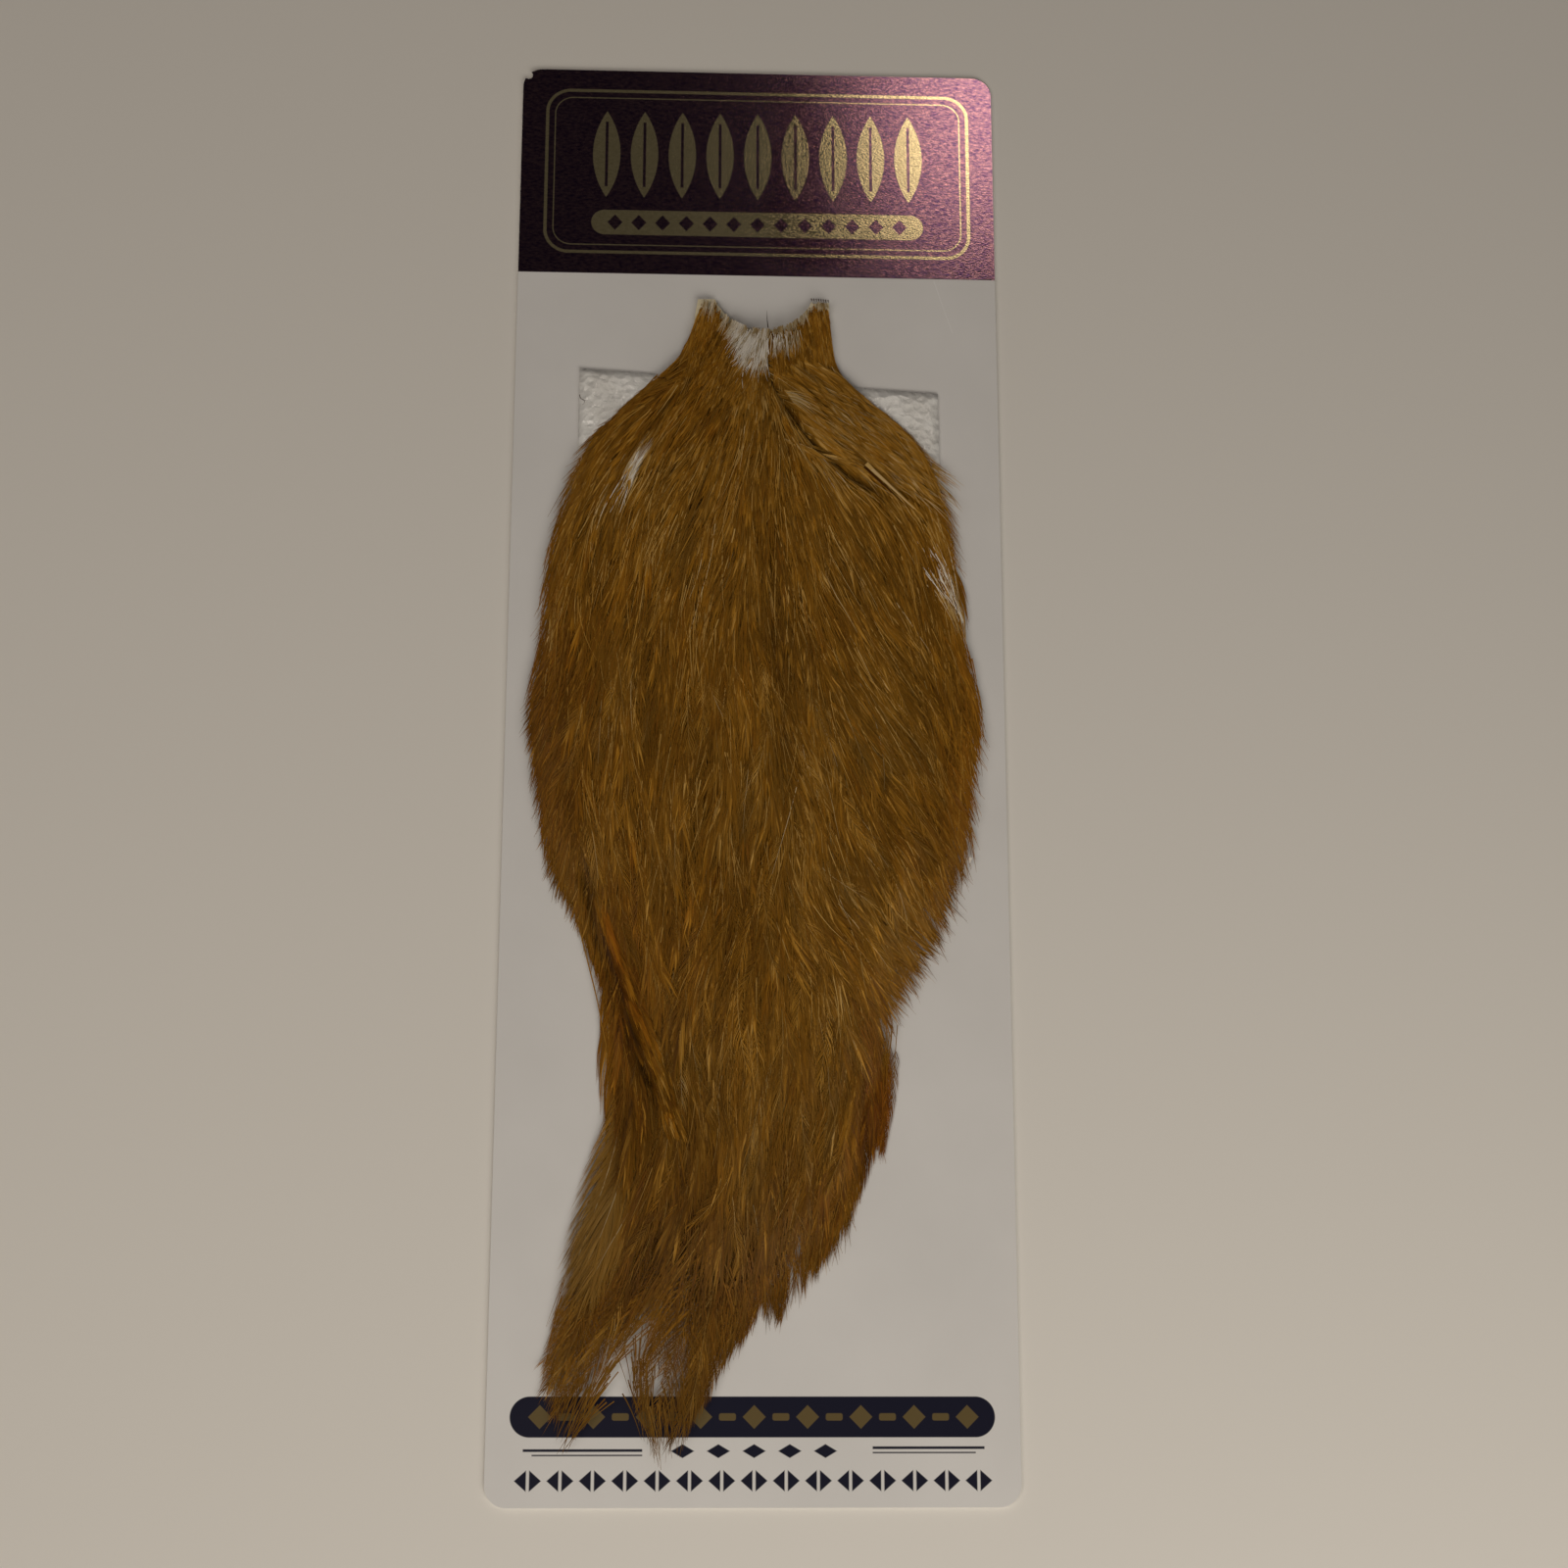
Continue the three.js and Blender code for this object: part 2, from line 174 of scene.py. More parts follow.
def add_studio():
    add_light("key", (-900, -260, 1300), (0, 0, 0), (0.9, 0.9), 5.05, (1.0, 0.90, 0.80))
    add_light("front", (210, -620, 500), (20, -150, 0), (0.8, 0.4), 3.42, (1.0, 0.93, 0.84))
    add_light("header", (305, 1068, 1500), (60, 150, 0), (0.24, 0.27), 1.22, (1.0, 0.86, 0.76))
    world = bpy.data.worlds.new("studio")
    world.use_nodes = True
    background = world.node_tree.nodes["Background"]
    background.inputs["Color"].default_value = (0.95, 0.97, 1.0, 1.0)
    background.inputs["Strength"].default_value = 0.03
    bpy.context.scene.world = world
    bpy.context.scene.view_settings.view_transform = "Standard"


def add_floor():
    size = 4.0
    mesh = bpy.data.meshes.new("floor")
    corners = [(-size, -size, 0), (size, -size, 0), (size, size, 0), (-size, size, 0)]
    mesh.from_pydata(corners, [], [(0, 1, 2, 3)])
    floor = bpy.data.objects.new("floor", mesh)
    bpy.context.scene.collection.objects.link(floor)
    floor.location.z = -0.1 * MM
    mesh.materials.append(floor_material())


# Materials

class Field:
    """A number at each point of a surface: a node socket, or a plain number, that takes arithmetic."""

    def __init__(self, tree, value):
        self.tree = tree
        self.value = value

    def _op(self, operation, *others):
        node = self.tree.nodes.new("ShaderNodeMath")
        node.operation = operation
        for socket, item in zip(node.inputs, (self, *others)):
            value = item.value if isinstance(item, Field) else item
            if isinstance(value, (int, float)):
                socket.default_value = value
            else:
                self.tree.links.new(value, socket)
        return Field(self.tree, node.outputs[0])

    def __add__(self, other):
        return self._op("ADD", other)

    def __sub__(self, other):
        return self._op("SUBTRACT", other)

    def __mul__(self, other):
        return self._op("MULTIPLY", other)

    def __truediv__(self, other):
        return self._op("DIVIDE", other)

    def __abs__(self):
        return self._op("ABSOLUTE")

    def root(self):
        return self._op("SQRT")

    def least(self, other):
        return self._op("MINIMUM", other)

    def most(self, other):
        return self._op("MAXIMUM", other)

    def modulo(self, period):
        return self._op("FLOORED_MODULO", period)

    def between(self, low, high):
        """0 at low and 1 at high, straight between."""
        node = self.tree.nodes.new("ShaderNodeMapRange")
        node.inputs["From Min"].default_value = low
        node.inputs["From Max"].default_value = high
        self.tree.links.new(self.value, node.inputs["Value"])
        return Field(self.tree, node.outputs["Result"])


def new_material(name):
    material = bpy.data.materials.new(name)
    material.use_nodes = True
    tree = material.node_tree
    return material, tree, tree.nodes["Principled BSDF"]


def place_fields(tree):
    """x, y and z in mm as fields, and the node that gives them."""
    coordinates = tree.nodes.new("ShaderNodeTexCoord")
    scaled = tree.nodes.new("ShaderNodeVectorMath")
    scaled.operation = "SCALE"
    scaled.inputs["Scale"].default_value = 1 / MM
    tree.links.new(coordinates.outputs["Object"], scaled.inputs[0])
    parts = tree.nodes.new("ShaderNodeSeparateXYZ")
    tree.links.new(scaled.outputs[0], parts.inputs[0])
    x, y, z = [Field(tree, parts.outputs[axis]) for axis in "XYZ"]
    return x, y, z, scaled.outputs[0]


def noise(tree, vector, scale, detail=3.0, stretch=None):
    if stretch:
        mapping = tree.nodes.new("ShaderNodeMapping")
        mapping.inputs["Rotation"].default_value = stretch[0]
        mapping.inputs["Scale"].default_value = stretch[1]
        tree.links.new(vector, mapping.inputs["Vector"])
        vector = mapping.outputs["Vector"]
    node = tree.nodes.new("ShaderNodeTexNoise")
    node.inputs["Scale"].default_value = scale
    node.inputs["Detail"].default_value = detail
    tree.links.new(vector, node.inputs["Vector"])
    return Field(tree, node.outputs["Fac"])


def mix(tree, factor, first, second):
    node = tree.nodes.new("ShaderNodeMix")
    node.data_type = "RGBA"
    tree.links.new(factor.value, node.inputs["Factor"])
    for socket, colour in ((node.inputs[6], first), (node.inputs[7], second)):
        if isinstance(colour, tuple):
            socket.default_value = (*colour, 1.0)
        else:
            tree.links.new(colour, socket)
    return node.outputs[2]


def add_bump(tree, shader, height, distance, strength=1.0):
    bump = tree.nodes.new("ShaderNodeBump")
    bump.inputs["Distance"].default_value = distance * MM
    bump.inputs["Strength"].default_value = strength
    tree.links.new(height.value, bump.inputs["Height"])
    tree.links.new(bump.outputs["Normal"], shader.inputs["Normal"])


def floor_material():
    material, tree, shader = new_material("pale_floor")
    shader.inputs["Base Color"].default_value = (0.83, 0.80, 0.74, 1.0)
    shader.inputs["Roughness"].default_value = 0.7
    return material


SOFT_EDGE = 0.09  # mm over which a printed edge fades


def inside(distance):
    return distance.between(SOFT_EDGE, -SOFT_EDGE)


def rounded_box(x, y, centre, half_width, half_height, radius):
    """Distance in mm to a box with round corners, negative inside it."""
    across = abs(x - centre[0]) - (half_width - radius)
    up = abs(y - centre[1]) - (half_height - radius)
    corner = (across.most(0) * across.most(0) + up.most(0) * up.most(0)).root()
    return corner + across.most(up).least(0) - radius


def leaf(x, y, centre_y, half_width, half_height):
    """Distance to an upright leaf of two arcs, pointed above and below."""
    radius = (half_width ** 2 + half_height ** 2) / (2 * half_width)
    across = abs(x) + (radius - half_width)
    up = y - centre_y
    return (across * across + up * up).root() - radius


def lozenge(x, y, centre_y, half_width, half_height):
    slant = abs(x) / half_width + abs(y - centre_y) / half_height
    return (slant - 1) * (min(half_width, half_height) * 0.8)


def header_gold(x, y):
    """Generic gold ornament: a round-cornered frame, a row of leaves and a bar with lozenges in it."""
    middle = (0.0, 148.8)
    frame_line = abs(rounded_box(x, y, middle, 53.6, 22.4, 6.0)) - 0.42
    inner_line = abs(rounded_box(x, y, middle, 51.6, 20.4, 4.6)) - 0.16
    pitch = 9.6
    local = (x + pitch / 2).modulo(pitch) - pitch / 2
    row = abs(x) - 4.5 * pitch
    leaves = leaf(local, y, 153.5, 3.5, 12.0).most(row)
    veins = (abs(local) - 0.35).most(abs(y - 153.5) - 9.0)
    bar = rounded_box(x, y, (0.0, 134.6), 42.0, 3.4, 3.4)
    gaps = lozenge((x + 3.0).modulo(6.0) - 3.0, y, 134.6, 1.9, 2.1).most(abs(x) - 38.5)
    solid = frame_line.least(inner_line).least(leaves).least(bar)
    return inside(solid) * inside(veins.least(gaps) * -1)


def band_gold(x, y):
    """Generic gold ornament on the navy band: lozenges with a short bar between each two."""
    pitch = 12.0
    local = (x + pitch / 2).modulo(pitch) - pitch / 2
    gem = lozenge(local, y, BAND["y"], 2.6, 2.6)
    bar = rounded_box(abs(local), y, (6.0, BAND["y"]), 1.9, 0.8, 0.5)
    return inside(gem.least(bar).most(abs(x) - 51.0))


def navy_print(x, y):
    """The navy band, the double rules below it and a plain border along the bottom."""
    band = rounded_box(x, y, (BAND["x"], BAND["y"]), BAND["half_width"], BAND["half_height"], BAND["half_height"])
    rule_left = rounded_box(x, y, (-38.3, -164.65), 13.3, 0.29, 0.05)
    rule_right = rounded_box(x, y, (39.2, -164.1), 12.6, 0.29, 0.05)
    thin_left = rounded_box(x, y, (-37.3, -165.7), 12.3, 0.15, 0.05)
    thin_right = rounded_box(x, y, (38.2, -165.15), 11.6, 0.15, 0.05)
    gems = lozenge((x + 4.0).modulo(8.0) - 4.0, y, -164.8, 2.6, 1.5).most(abs(x) - 20.5)
    tile = 7.2
    local = (x + tile / 2).modulo(tile) - tile / 2
    border = lozenge(local, y, -171.2, 3.0, 2.6).most(abs(abs(local)) * -1 + 0.35)
    border = border.most(abs(x) - 54.0)
    return inside(band.least(rule_left).least(rule_right).least(thin_left).least(thin_right).least(gems).least(border))


def card_material():
    material, tree, shader = new_material("printed_card")
    x, y, z, place = place_fields(tree)
    face = z.between(CARD_TOP - 0.1, CARD_TOP - 0.05)
    mottle = noise(tree, place, 0.03, 4.0).between(0.3, 0.7)
    paper = mix(tree, mottle, (0.74, 0.725, 0.70), (0.79, 0.775, 0.75))
    scratch_line = abs((x - 44.5) * 0.953 + (y - 120.1) * 0.304) - 0.09
    scratch = inside(scratch_line.most(abs(y - 113.0) - 7.0))
    paper = mix(tree, scratch * 0.5, paper, (0.95, 0.94, 0.92))
    header = inside((y - HEADER_EDGE) * -1) * face
    gold = header_gold(x, y) * header
    navy = navy_print(x, y) * face * inside(y - HEADER_EDGE)
    navy_gold = band_gold(x, y) * navy
    foil_tone = noise(tree, place, 0.9, 5.0, ((0, 0, 0.6), (1.0, 2.2, 1.0))).between(0.25, 0.75)
    foil = mix(tree, foil_tone, (0.036, 0.016, 0.070), (0.27, 0.145, 0.150))
    gold_tone = mix(tree, foil_tone, (0.36, 0.30, 0.155), (0.50, 0.42, 0.24))
    colour = mix(tree, navy, paper, (0.0012, 0.0014, 0.016))
    colour = mix(tree, navy_gold, colour, (0.13, 0.09, 0.030))
    colour = mix(tree, header, colour, foil)
    colour = mix(tree, gold, colour, gold_tone)
    tree.links.new(colour, shader.inputs["Base Color"])
    tree.links.new((header * 0.97 - gold * 0.18).value, shader.inputs["Metallic"])
    rough = header * -0.35 + 0.46
    tree.links.new(rough.value, shader.inputs["Roughness"])
    shader.inputs["Specular IOR Level"].default_value = 0.3
    grain = noise(tree, place, 1.6, 4.0, ((0, 0, 0.6), (1.0, 2.4, 1.0))) * (header * 0.9 + 0.1)
    add_bump(tree, shader, grain, 0.03, 0.6)
    return material


def padding_material():
    material, tree, shader = new_material("padding_film")
    x, y, z, place = place_fields(tree)
    cloud = noise(tree, place, 0.12, 4.0).between(0.3, 0.7)
    colour = mix(tree, cloud, (0.84, 0.82, 0.77), (0.99, 0.98, 0.94))
    tree.links.new(colour, shader.inputs["Base Color"])
    shader.inputs["Roughness"].default_value = 0.17
    shader.inputs["Specular IOR Level"].default_value = 0.9
    facets = tree.nodes.new("ShaderNodeTexVoronoi")
    facets.inputs["Scale"].default_value = 0.42
    tree.links.new(place, facets.inputs["Vector"])
    crinkle = Field(tree, facets.outputs["Distance"]) + noise(tree, place, 0.5, 4.0)
    add_bump(tree, shader, crinkle, 0.5, 0.9)
    return material


# Colours of the plumage, by hue from red-brown over ginger and straw to white, at full brightness
HUES = [
    (0.00, (0.40, 0.112, 0.004)),
    (0.25, (0.42, 0.148, 0.007)),
    (0.45, (0.43, 0.188, 0.012)),
    (0.60, (0.50, 0.250, 0.034)),
    (0.75, (0.64, 0.395, 0.115)),
    (0.88, (0.78, 0.630, 0.390)),
    (1.00, (1.00, 0.960, 0.880)),
]


def plumage_material():
    """Hue and brightness come from the two coordinates of the map, so each barb has its own."""
    material, tree, shader = new_material("plumage")
    uv = tree.nodes.new("ShaderNodeUVMap")
    uv.uv_map = "OFBake"
    parts = tree.nodes.new("ShaderNodeSeparateXYZ")
    tree.links.new(uv.outputs["UV"], parts.inputs[0])
    ramp = tree.nodes.new("ShaderNodeValToRGB")
    ramp.color_ramp.elements.remove(ramp.color_ramp.elements[1])
    for place, colour in HUES:
        stop = ramp.color_ramp.elements.new(place) if place else ramp.color_ramp.elements[0]
        stop.position = place
        stop.color = (*colour, 1.0)
    tree.links.new(parts.outputs["X"], ramp.inputs["Fac"])
    bright = tree.nodes.new("ShaderNodeVectorMath")
    bright.operation = "SCALE"
    tree.links.new(ramp.outputs["Color"], bright.inputs[0])
    tree.links.new(parts.outputs["Y"], bright.inputs["Scale"])
    tree.links.new(bright.outputs[0], shader.inputs["Base Color"])
    shader.inputs["Roughness"].default_value = 0.5
    shader.inputs["Specular IOR Level"].default_value = 0.12
    return material


def skin_material():
    material, tree, shader = new_material("tanned_skin")
    x, y, z, place = place_fields(tree)
    tone = noise(tree, place, 0.5, 4.0).between(0.3, 0.7)
    colour = mix(tree, tone, (0.68, 0.58, 0.36), (0.84, 0.76, 0.55))
    tree.links.new(colour, shader.inputs["Base Color"])
    shader.inputs["Roughness"].default_value = 0.55
    add_bump(tree, shader, noise(tree, place, 1.5, 4.0), 0.15, 0.6)
    return material


# Meshes

def make_object(name, verts, faces, material):
    mesh = bpy.data.meshes.new(name)
    mesh.from_pydata([tuple(v) for v in verts], [], [tuple(f) for f in faces])
    mesh.materials.append(material)
    obj = bpy.data.objects.new(name, mesh)
    bpy.context.scene.collection.objects.link(obj)
    return obj


def make_triangles(name, verts, tris, uv, material):
    """A mesh from arrays: verts in mm, tris as vertex numbers, uv one pair a vertex."""
    mesh = bpy.data.meshes.new(name)
    mesh.vertices.add(len(verts))
    mesh.vertices.foreach_set("co", (verts * MM).astype(np.float32).ravel())
    mesh.loops.add(3 * len(tris))
    mesh.loops.foreach_set("vertex_index", tris.astype(np.int32).ravel())
    mesh.polygons.add(len(tris))
    mesh.polygons.foreach_set("loop_start", np.arange(0, 3 * len(tris), 3, dtype=np.int32))
    layer = mesh.uv_layers.new(name="OFBake")
    mesh.update()
    layer.uv.foreach_set("vector", uv[tris.ravel()].astype(np.float32).ravel())
    mesh.validate()
    mesh.materials.append(material)
    obj = bpy.data.objects.new(name, mesh)
    bpy.context.scene.collection.objects.link(obj)
    return obj


def lattice(seed, size=64):
    return np.random.default_rng(seed).random((size, size))


def smooth_noise(x, y, period, seed):
    """Soft noise from 0 to 1 that changes over about period mm."""
    table = lattice(seed)
    size = len(table)
    u, v = x / period + 1000.0, y / period + 1000.0
    i, j = np.floor(u).astype(int), np.floor(v).astype(int)
    fu, fv = u - i, v - j
    fu, fv = fu * fu * (3 - 2 * fu), fv * fv * (3 - 2 * fv)
    i0, j0, i1, j1 = i % size, j % size, (i + 1) % size, (j + 1) % size
    low = table[i0, j0] * (1 - fu) + table[i1, j0] * fu
    high = table[i0, j1] * (1 - fu) + table[i1, j1] * fu
    return low * (1 - fv) + high * fv


# The bed's sides and crown as smooth curves of y
BED_STEP = 1.0
bed_y = np.arange(BED[-1, 0] - 20, BED[0, 0] + 20, BED_STEP)


def smooth_column(column, spread=5.0):
    raw = np.interp(bed_y, BED[::-1, 0], BED[::-1, column])
    reach = np.arange(-3 * spread, 3 * spread + 1)
    kernel = np.exp(-0.5 * (reach / spread) ** 2)
    padded = np.pad(raw, len(reach) // 2, mode="edge")
    return np.convolve(padded, kernel / kernel.sum(), mode="valid")


bed_left, bed_right, bed_crown = [smooth_column(column) for column in (1, 2, 3)]


def bed_frame(x, y):
    """The bed's sides and crown at y, and how far across x lies, from -1 to 1 within the sides."""
    left, right, crown = [np.interp(y, bed_y, side) for side in (bed_left, bed_right, bed_crown)]
    return left, right, crown, (2 * x - left - right) / (right - left)


def clump(x, y):
    """Soft streaks down the cape, from -0.5 in a parting to 0.5 on a lock."""
    across = 50 * bed_frame(x, y)[3]
    broad = smooth_noise(across + 0.05 * y, 0.13 * y, 5.5, 31)
    fine = smooth_noise(across - 0.04 * y, 0.16 * y, 2.3, 32)
    return 0.62 * broad + 0.38 * fine - 0.5


def line_distance(x, y, line):
    """Distance in mm to a line of points."""
    nearest = np.full(np.shape(x), 1e9)
    for (ax, ay), (bx, by) in zip(line[:-1], line[1:]):
        length = (bx - ax) ** 2 + (by - ay) ** 2
        share = np.clip(((x - ax) * (bx - ax) + (y - ay) * (by - ay)) / length, 0, 1)
        away = np.hypot(x - ax - share * (bx - ax), y - ay - share * (by - ay))
        nearest = np.minimum(nearest, away)
    return nearest


# Partings in the plumage, sunk by their depth and darkened with painted shade: points, half width and depth in mm
PARTINGS = [
    ([(3.0, 96.0), (3.5, 90.5)], 0.55, 2.0),
    ([(3.6, 90.5), (7.7, 81.7), (14.6, 71.7), (22.0, 64.9), (28, 61.5)], 1.1, 1.5),
    ([(-40.3, -33), (-36.6, -49), (-31.8, -61), (-27.5, -74.5), (-24.7, -82)], 1.3, 2.0),
]
CREASE = PARTINGS[1][0]


def parting(x, y):
    """How deep in a parting a point is, 0 outside, and the depth in mm."""
    share, depth = np.zeros(np.shape(x)), np.zeros(np.shape(x))
    for line, half_width, deep in PARTINGS:
        near = np.exp(-(line_distance(x, y, line) / half_width) ** 2)
        share = np.maximum(share, near)
        depth = np.maximum(depth, near * deep)
    return share, depth


def bed_height(x, y):
    """Height of the plumage's surface in mm."""
    left, right, crown, across = bed_frame(x, y)
    outside = np.maximum(np.abs(across) - 1, 0) * (right - left) / 2
    dome = RIM_HEIGHT + crown * (1 - np.minimum(np.abs(across), 1) ** CROWN_POWER)
    soft = np.clip(crown / 8, 0.1, 1)
    dome = dome + 1.5 * soft * clump(x, y) - parting(x, y)[1]
    return np.maximum(dome - 0.22 * outside, CARD_TOP + 0.7)


def wave(x, y):
    """How far strands stray sideways, the same for all at a place, in mm."""
    calm = np.interp(y, [-60, 40, 90], [1.0, 0.6, 0.25])
    across = 50 * bed_frame(x, y)[3]
    return 2.6 * calm * (smooth_noise(across, 0.35 * y, 9.0, 41) - 0.5)


def group_turn(x, y):
    """How far a lock of feathers turns from the flow, in radians."""
    across = 50 * bed_frame(x, y)[3]
    most = np.interp(y, [-120, -60, 30, 80, 100], [0.30, 0.45, 0.38, 0.24, 0.10])
    return most * (smooth_noise(across, 0.35 * y, 6.5, 51) + smooth_noise(across, 0.5 * y, 3.2, 52) - 1)


def flow_angle(place):
    away = place[:, None, :] - FLOW[None, :, :2]
    distance = np.hypot(away[..., 0], away[..., 1] / 1.25)
    weight = 1 / (distance + 3) ** 3
    return np.radians((weight * FLOW[:, 2]).sum(1) / weight.sum(1))


def rim_y(x):
    """The y of the skin's top edge: the notch, or the horns beside it."""
    away = NOTCH["radius"] ** 2 - (x - NOTCH["x"]) ** 2
    arc = NOTCH["y"] - np.sqrt(np.maximum(away, 0))
    return np.where(away > 0, np.minimum(arc, HORN_TOP), HORN_TOP)


# Feathers

STATIONS = 14
STREAK = 2.4  # mm along the shaft over which the barbs share a tone


class Plumes:
    """Many feathers: tips in mm, lengths, half widths and tones, with their centre lines root first."""

    def __init__(self, tips, length, half_width, hue, bright, lean, curl, lift, bearing=None, pile=4.2,
                 spread=1.0, calm=1.0):
        self.length = length.copy()
        self.half_width, self.hue, self.bright, self.lift = half_width, hue, bright, lift
        self.lean, self.curl, self.bearing = lean, curl, bearing
        self.tips, self.pile, self.calm = tips, pile, calm
        for _ in range(12):
            self.path = self.trace()
            over = (self.path[..., 1] > rim_y(self.path[..., 0]) - 0.25).any(1)
            if not over.any():
                break
            self.length[over] *= 0.94
        step = np.diff(self.path, axis=1)
        ahead = np.concatenate([step, step[:, -1:]], 1) + np.concatenate([step[:, :1], step], 1)
        self.tangent = ahead / np.linalg.norm(ahead, axis=2, keepdims=True)
        many = len(tips)
        self.roll = rng.normal(0, 0.07, many)
        self.cup = rng.uniform(0.03, 0.07, many) * 3 / np.maximum(half_width, 1.5)
        self.split = rng.uniform(0, 1, many)
        self.spread = rng.uniform(0.85, 1.2, many) * spread

    def trace(self):
        here = self.tips.copy()
        stations = [here]
        for count in range(STATIONS):
            angle = flow_angle(here) if self.bearing is None else self.bearing
            angle = angle + self.lean + self.curl * (0.5 - count / STATIONS)
            move = np.stack([-np.sin(angle), np.cos(angle)], 1)
            here = here + move * (self.length / STATIONS)[:, None]
            stations.append(here)
        path = np.stack(stations[::-1], 1)
        path[..., 0] += wave(path[..., 0], path[..., 1])
        left, right = bed_frame(path[..., 0], path[..., 1])[:2]
        held = np.clip(path[..., 1] / 60, 0, 1)
        kept = np.clip(path[..., 0], left + 1.2, right - 1.2)
        path[..., 0] += held * (kept - path[..., 0])
        return path

    def place(self, which, along, across):
        """Points on the feathers: along from 0 at the root to 1 at the tip, across in mm."""
        at = np.clip(np.floor(along * STATIONS).astype(int), 0, STATIONS - 1)
        part = along * STATIONS - at
        start = self.path[which, at]
        middle = start + (self.path[which, at + 1] - start) * part[:, None]
        turn = np.clip(part, 0, 1)[:, None]
        tangent = self.tangent[which, at] * (1 - turn) + self.tangent[which, at + 1] * turn
        side = np.stack([-tangent[:, 1], tangent[:, 0]], 1)
        xy = middle + side * across[:, None]
        top = bed_height(xy[:, 0], xy[:, 1])
        pile = np.minimum(np.clip(top - CARD_TOP - 0.8, 0.4, 4.2), self.pile)
        sunk = pile * np.maximum(1 - along, -0.06)
        z = top - sunk + self.lift[which] + self.roll[which] * across - self.cup[which] * across ** 2
        return np.column_stack([xy, np.maximum(z, CARD_TOP + 0.25)])


def vane_half_width(along):
    """The vane's half width as a share of its widest, along a hackle feather."""
    rise = np.sqrt(np.clip(along / 0.3, 0.02, 1))
    fall = 1 - np.clip((along - 0.35) / 0.65, 0, 1) ** 1.7
    return rise * (0.16 + 0.84 * fall)


def barb_mesh(plumes, pitch, start, width):
    """Each barb is a flat tapered strip that leaves the shaft forwards and outwards."""
    counts = np.maximum((plumes.length * (1 - start) / pitch).astype(int), 6)
    which = np.repeat(np.arange(len(counts)), 2 * counts)
    rank = np.arange(len(which)) - np.repeat(np.cumsum(2 * counts) - 2 * counts, 2 * counts)
    sign = np.where(rank % 2 == 0, 1.0, -1.0)
    many = len(which)
    root = start + (1 - start) * (rank + rng.uniform(0, 1.6, many)) / (2 * counts[which])
    root = np.minimum(root, 1.0)
    length = plumes.length[which]
    half = plumes.half_width[which] * vane_half_width(root) * rng.uniform(0.86, 1.10, many)
    degrees = np.interp(root, [0, 0.5, 0.85, 1.0], [18, 15, 11, 6]) * plumes.spread[which]
    degrees = degrees + 1.8 * np.sin(6.28 * (root * length / 4.5 + plumes.split[which])) + rng.normal(0, 0.8, many)
    row = STREAK * (2 * which + (sign > 0))
    streak = smooth_noise(root * length + 97.0 * plumes.split[which], row, STREAK, 61) - 0.5
    streak *= plumes.calm
    pale = np.clip(5.0 * streak - 1.3, 0, 1)
    reach = half / np.tan(np.radians(np.maximum(degrees, 5))) / length
    tip_s, tip_v = root + reach, sign * half
    mid_s, mid_v = root + 0.46 * reach, sign * half * 0.60
    base = plumes.place(which, root, np.zeros(many))
    middle = plumes.place(which, mid_s, mid_v)
    tip = plumes.place(which, tip_s, tip_v)
    middle[:, 2] += rng.normal(0, 0.04, many)
    tip[:, 2] += rng.normal(0.02, 0.08, many)
    tip[:, 2] = np.maximum(tip[:, 2], CARD_TOP + 0.2)
    heading = tip[:, :2] - base[:, :2]
    heading /= np.linalg.norm(heading, axis=1, keepdims=True) + 1e-9
    left = np.column_stack([-heading[:, 1], heading[:, 0], rng.normal(0.0, 0.16, many)])
    wide = width * rng.uniform(0.8, 1.2, many)[:, None] / 2
    verts = np.stack([base - left * wide, base + left * wide,
                      middle - left * wide * 0.85, middle + left * wide * 0.85, tip], 1)
    tris = np.array([[0, 2, 3], [0, 3, 1], [2, 4, 3]])[None] + (5 * np.arange(many))[:, None, None]
    hue = plumes.hue[which] + rng.normal(0, 0.025, many)
    bright = plumes.bright[which] * rng.uniform(0.85, 1.15, many) * (1 + 0.8 * streak) * (1 + 0.5 * pale)
    hue, bright = shade(middle, hue + 0.10 * streak + 0.14 * pale, bright)
    hue_five = hue[:, None] + np.array([-0.006, 0.006, -0.005, 0.005, 0.0])
    # painted shade: each barb is darker at its base, in the shaft's shadow, and lighter at its tip
    bright_five = bright[:, None] * np.array([0.84, 0.86, 0.98, 1.0, 1.08])
    uv = np.stack([hue_five, np.minimum(bright_five, 0.995)], 2)
    return verts.reshape(-1, 3), tris.reshape(-1, 3), uv.reshape(-1, 2)


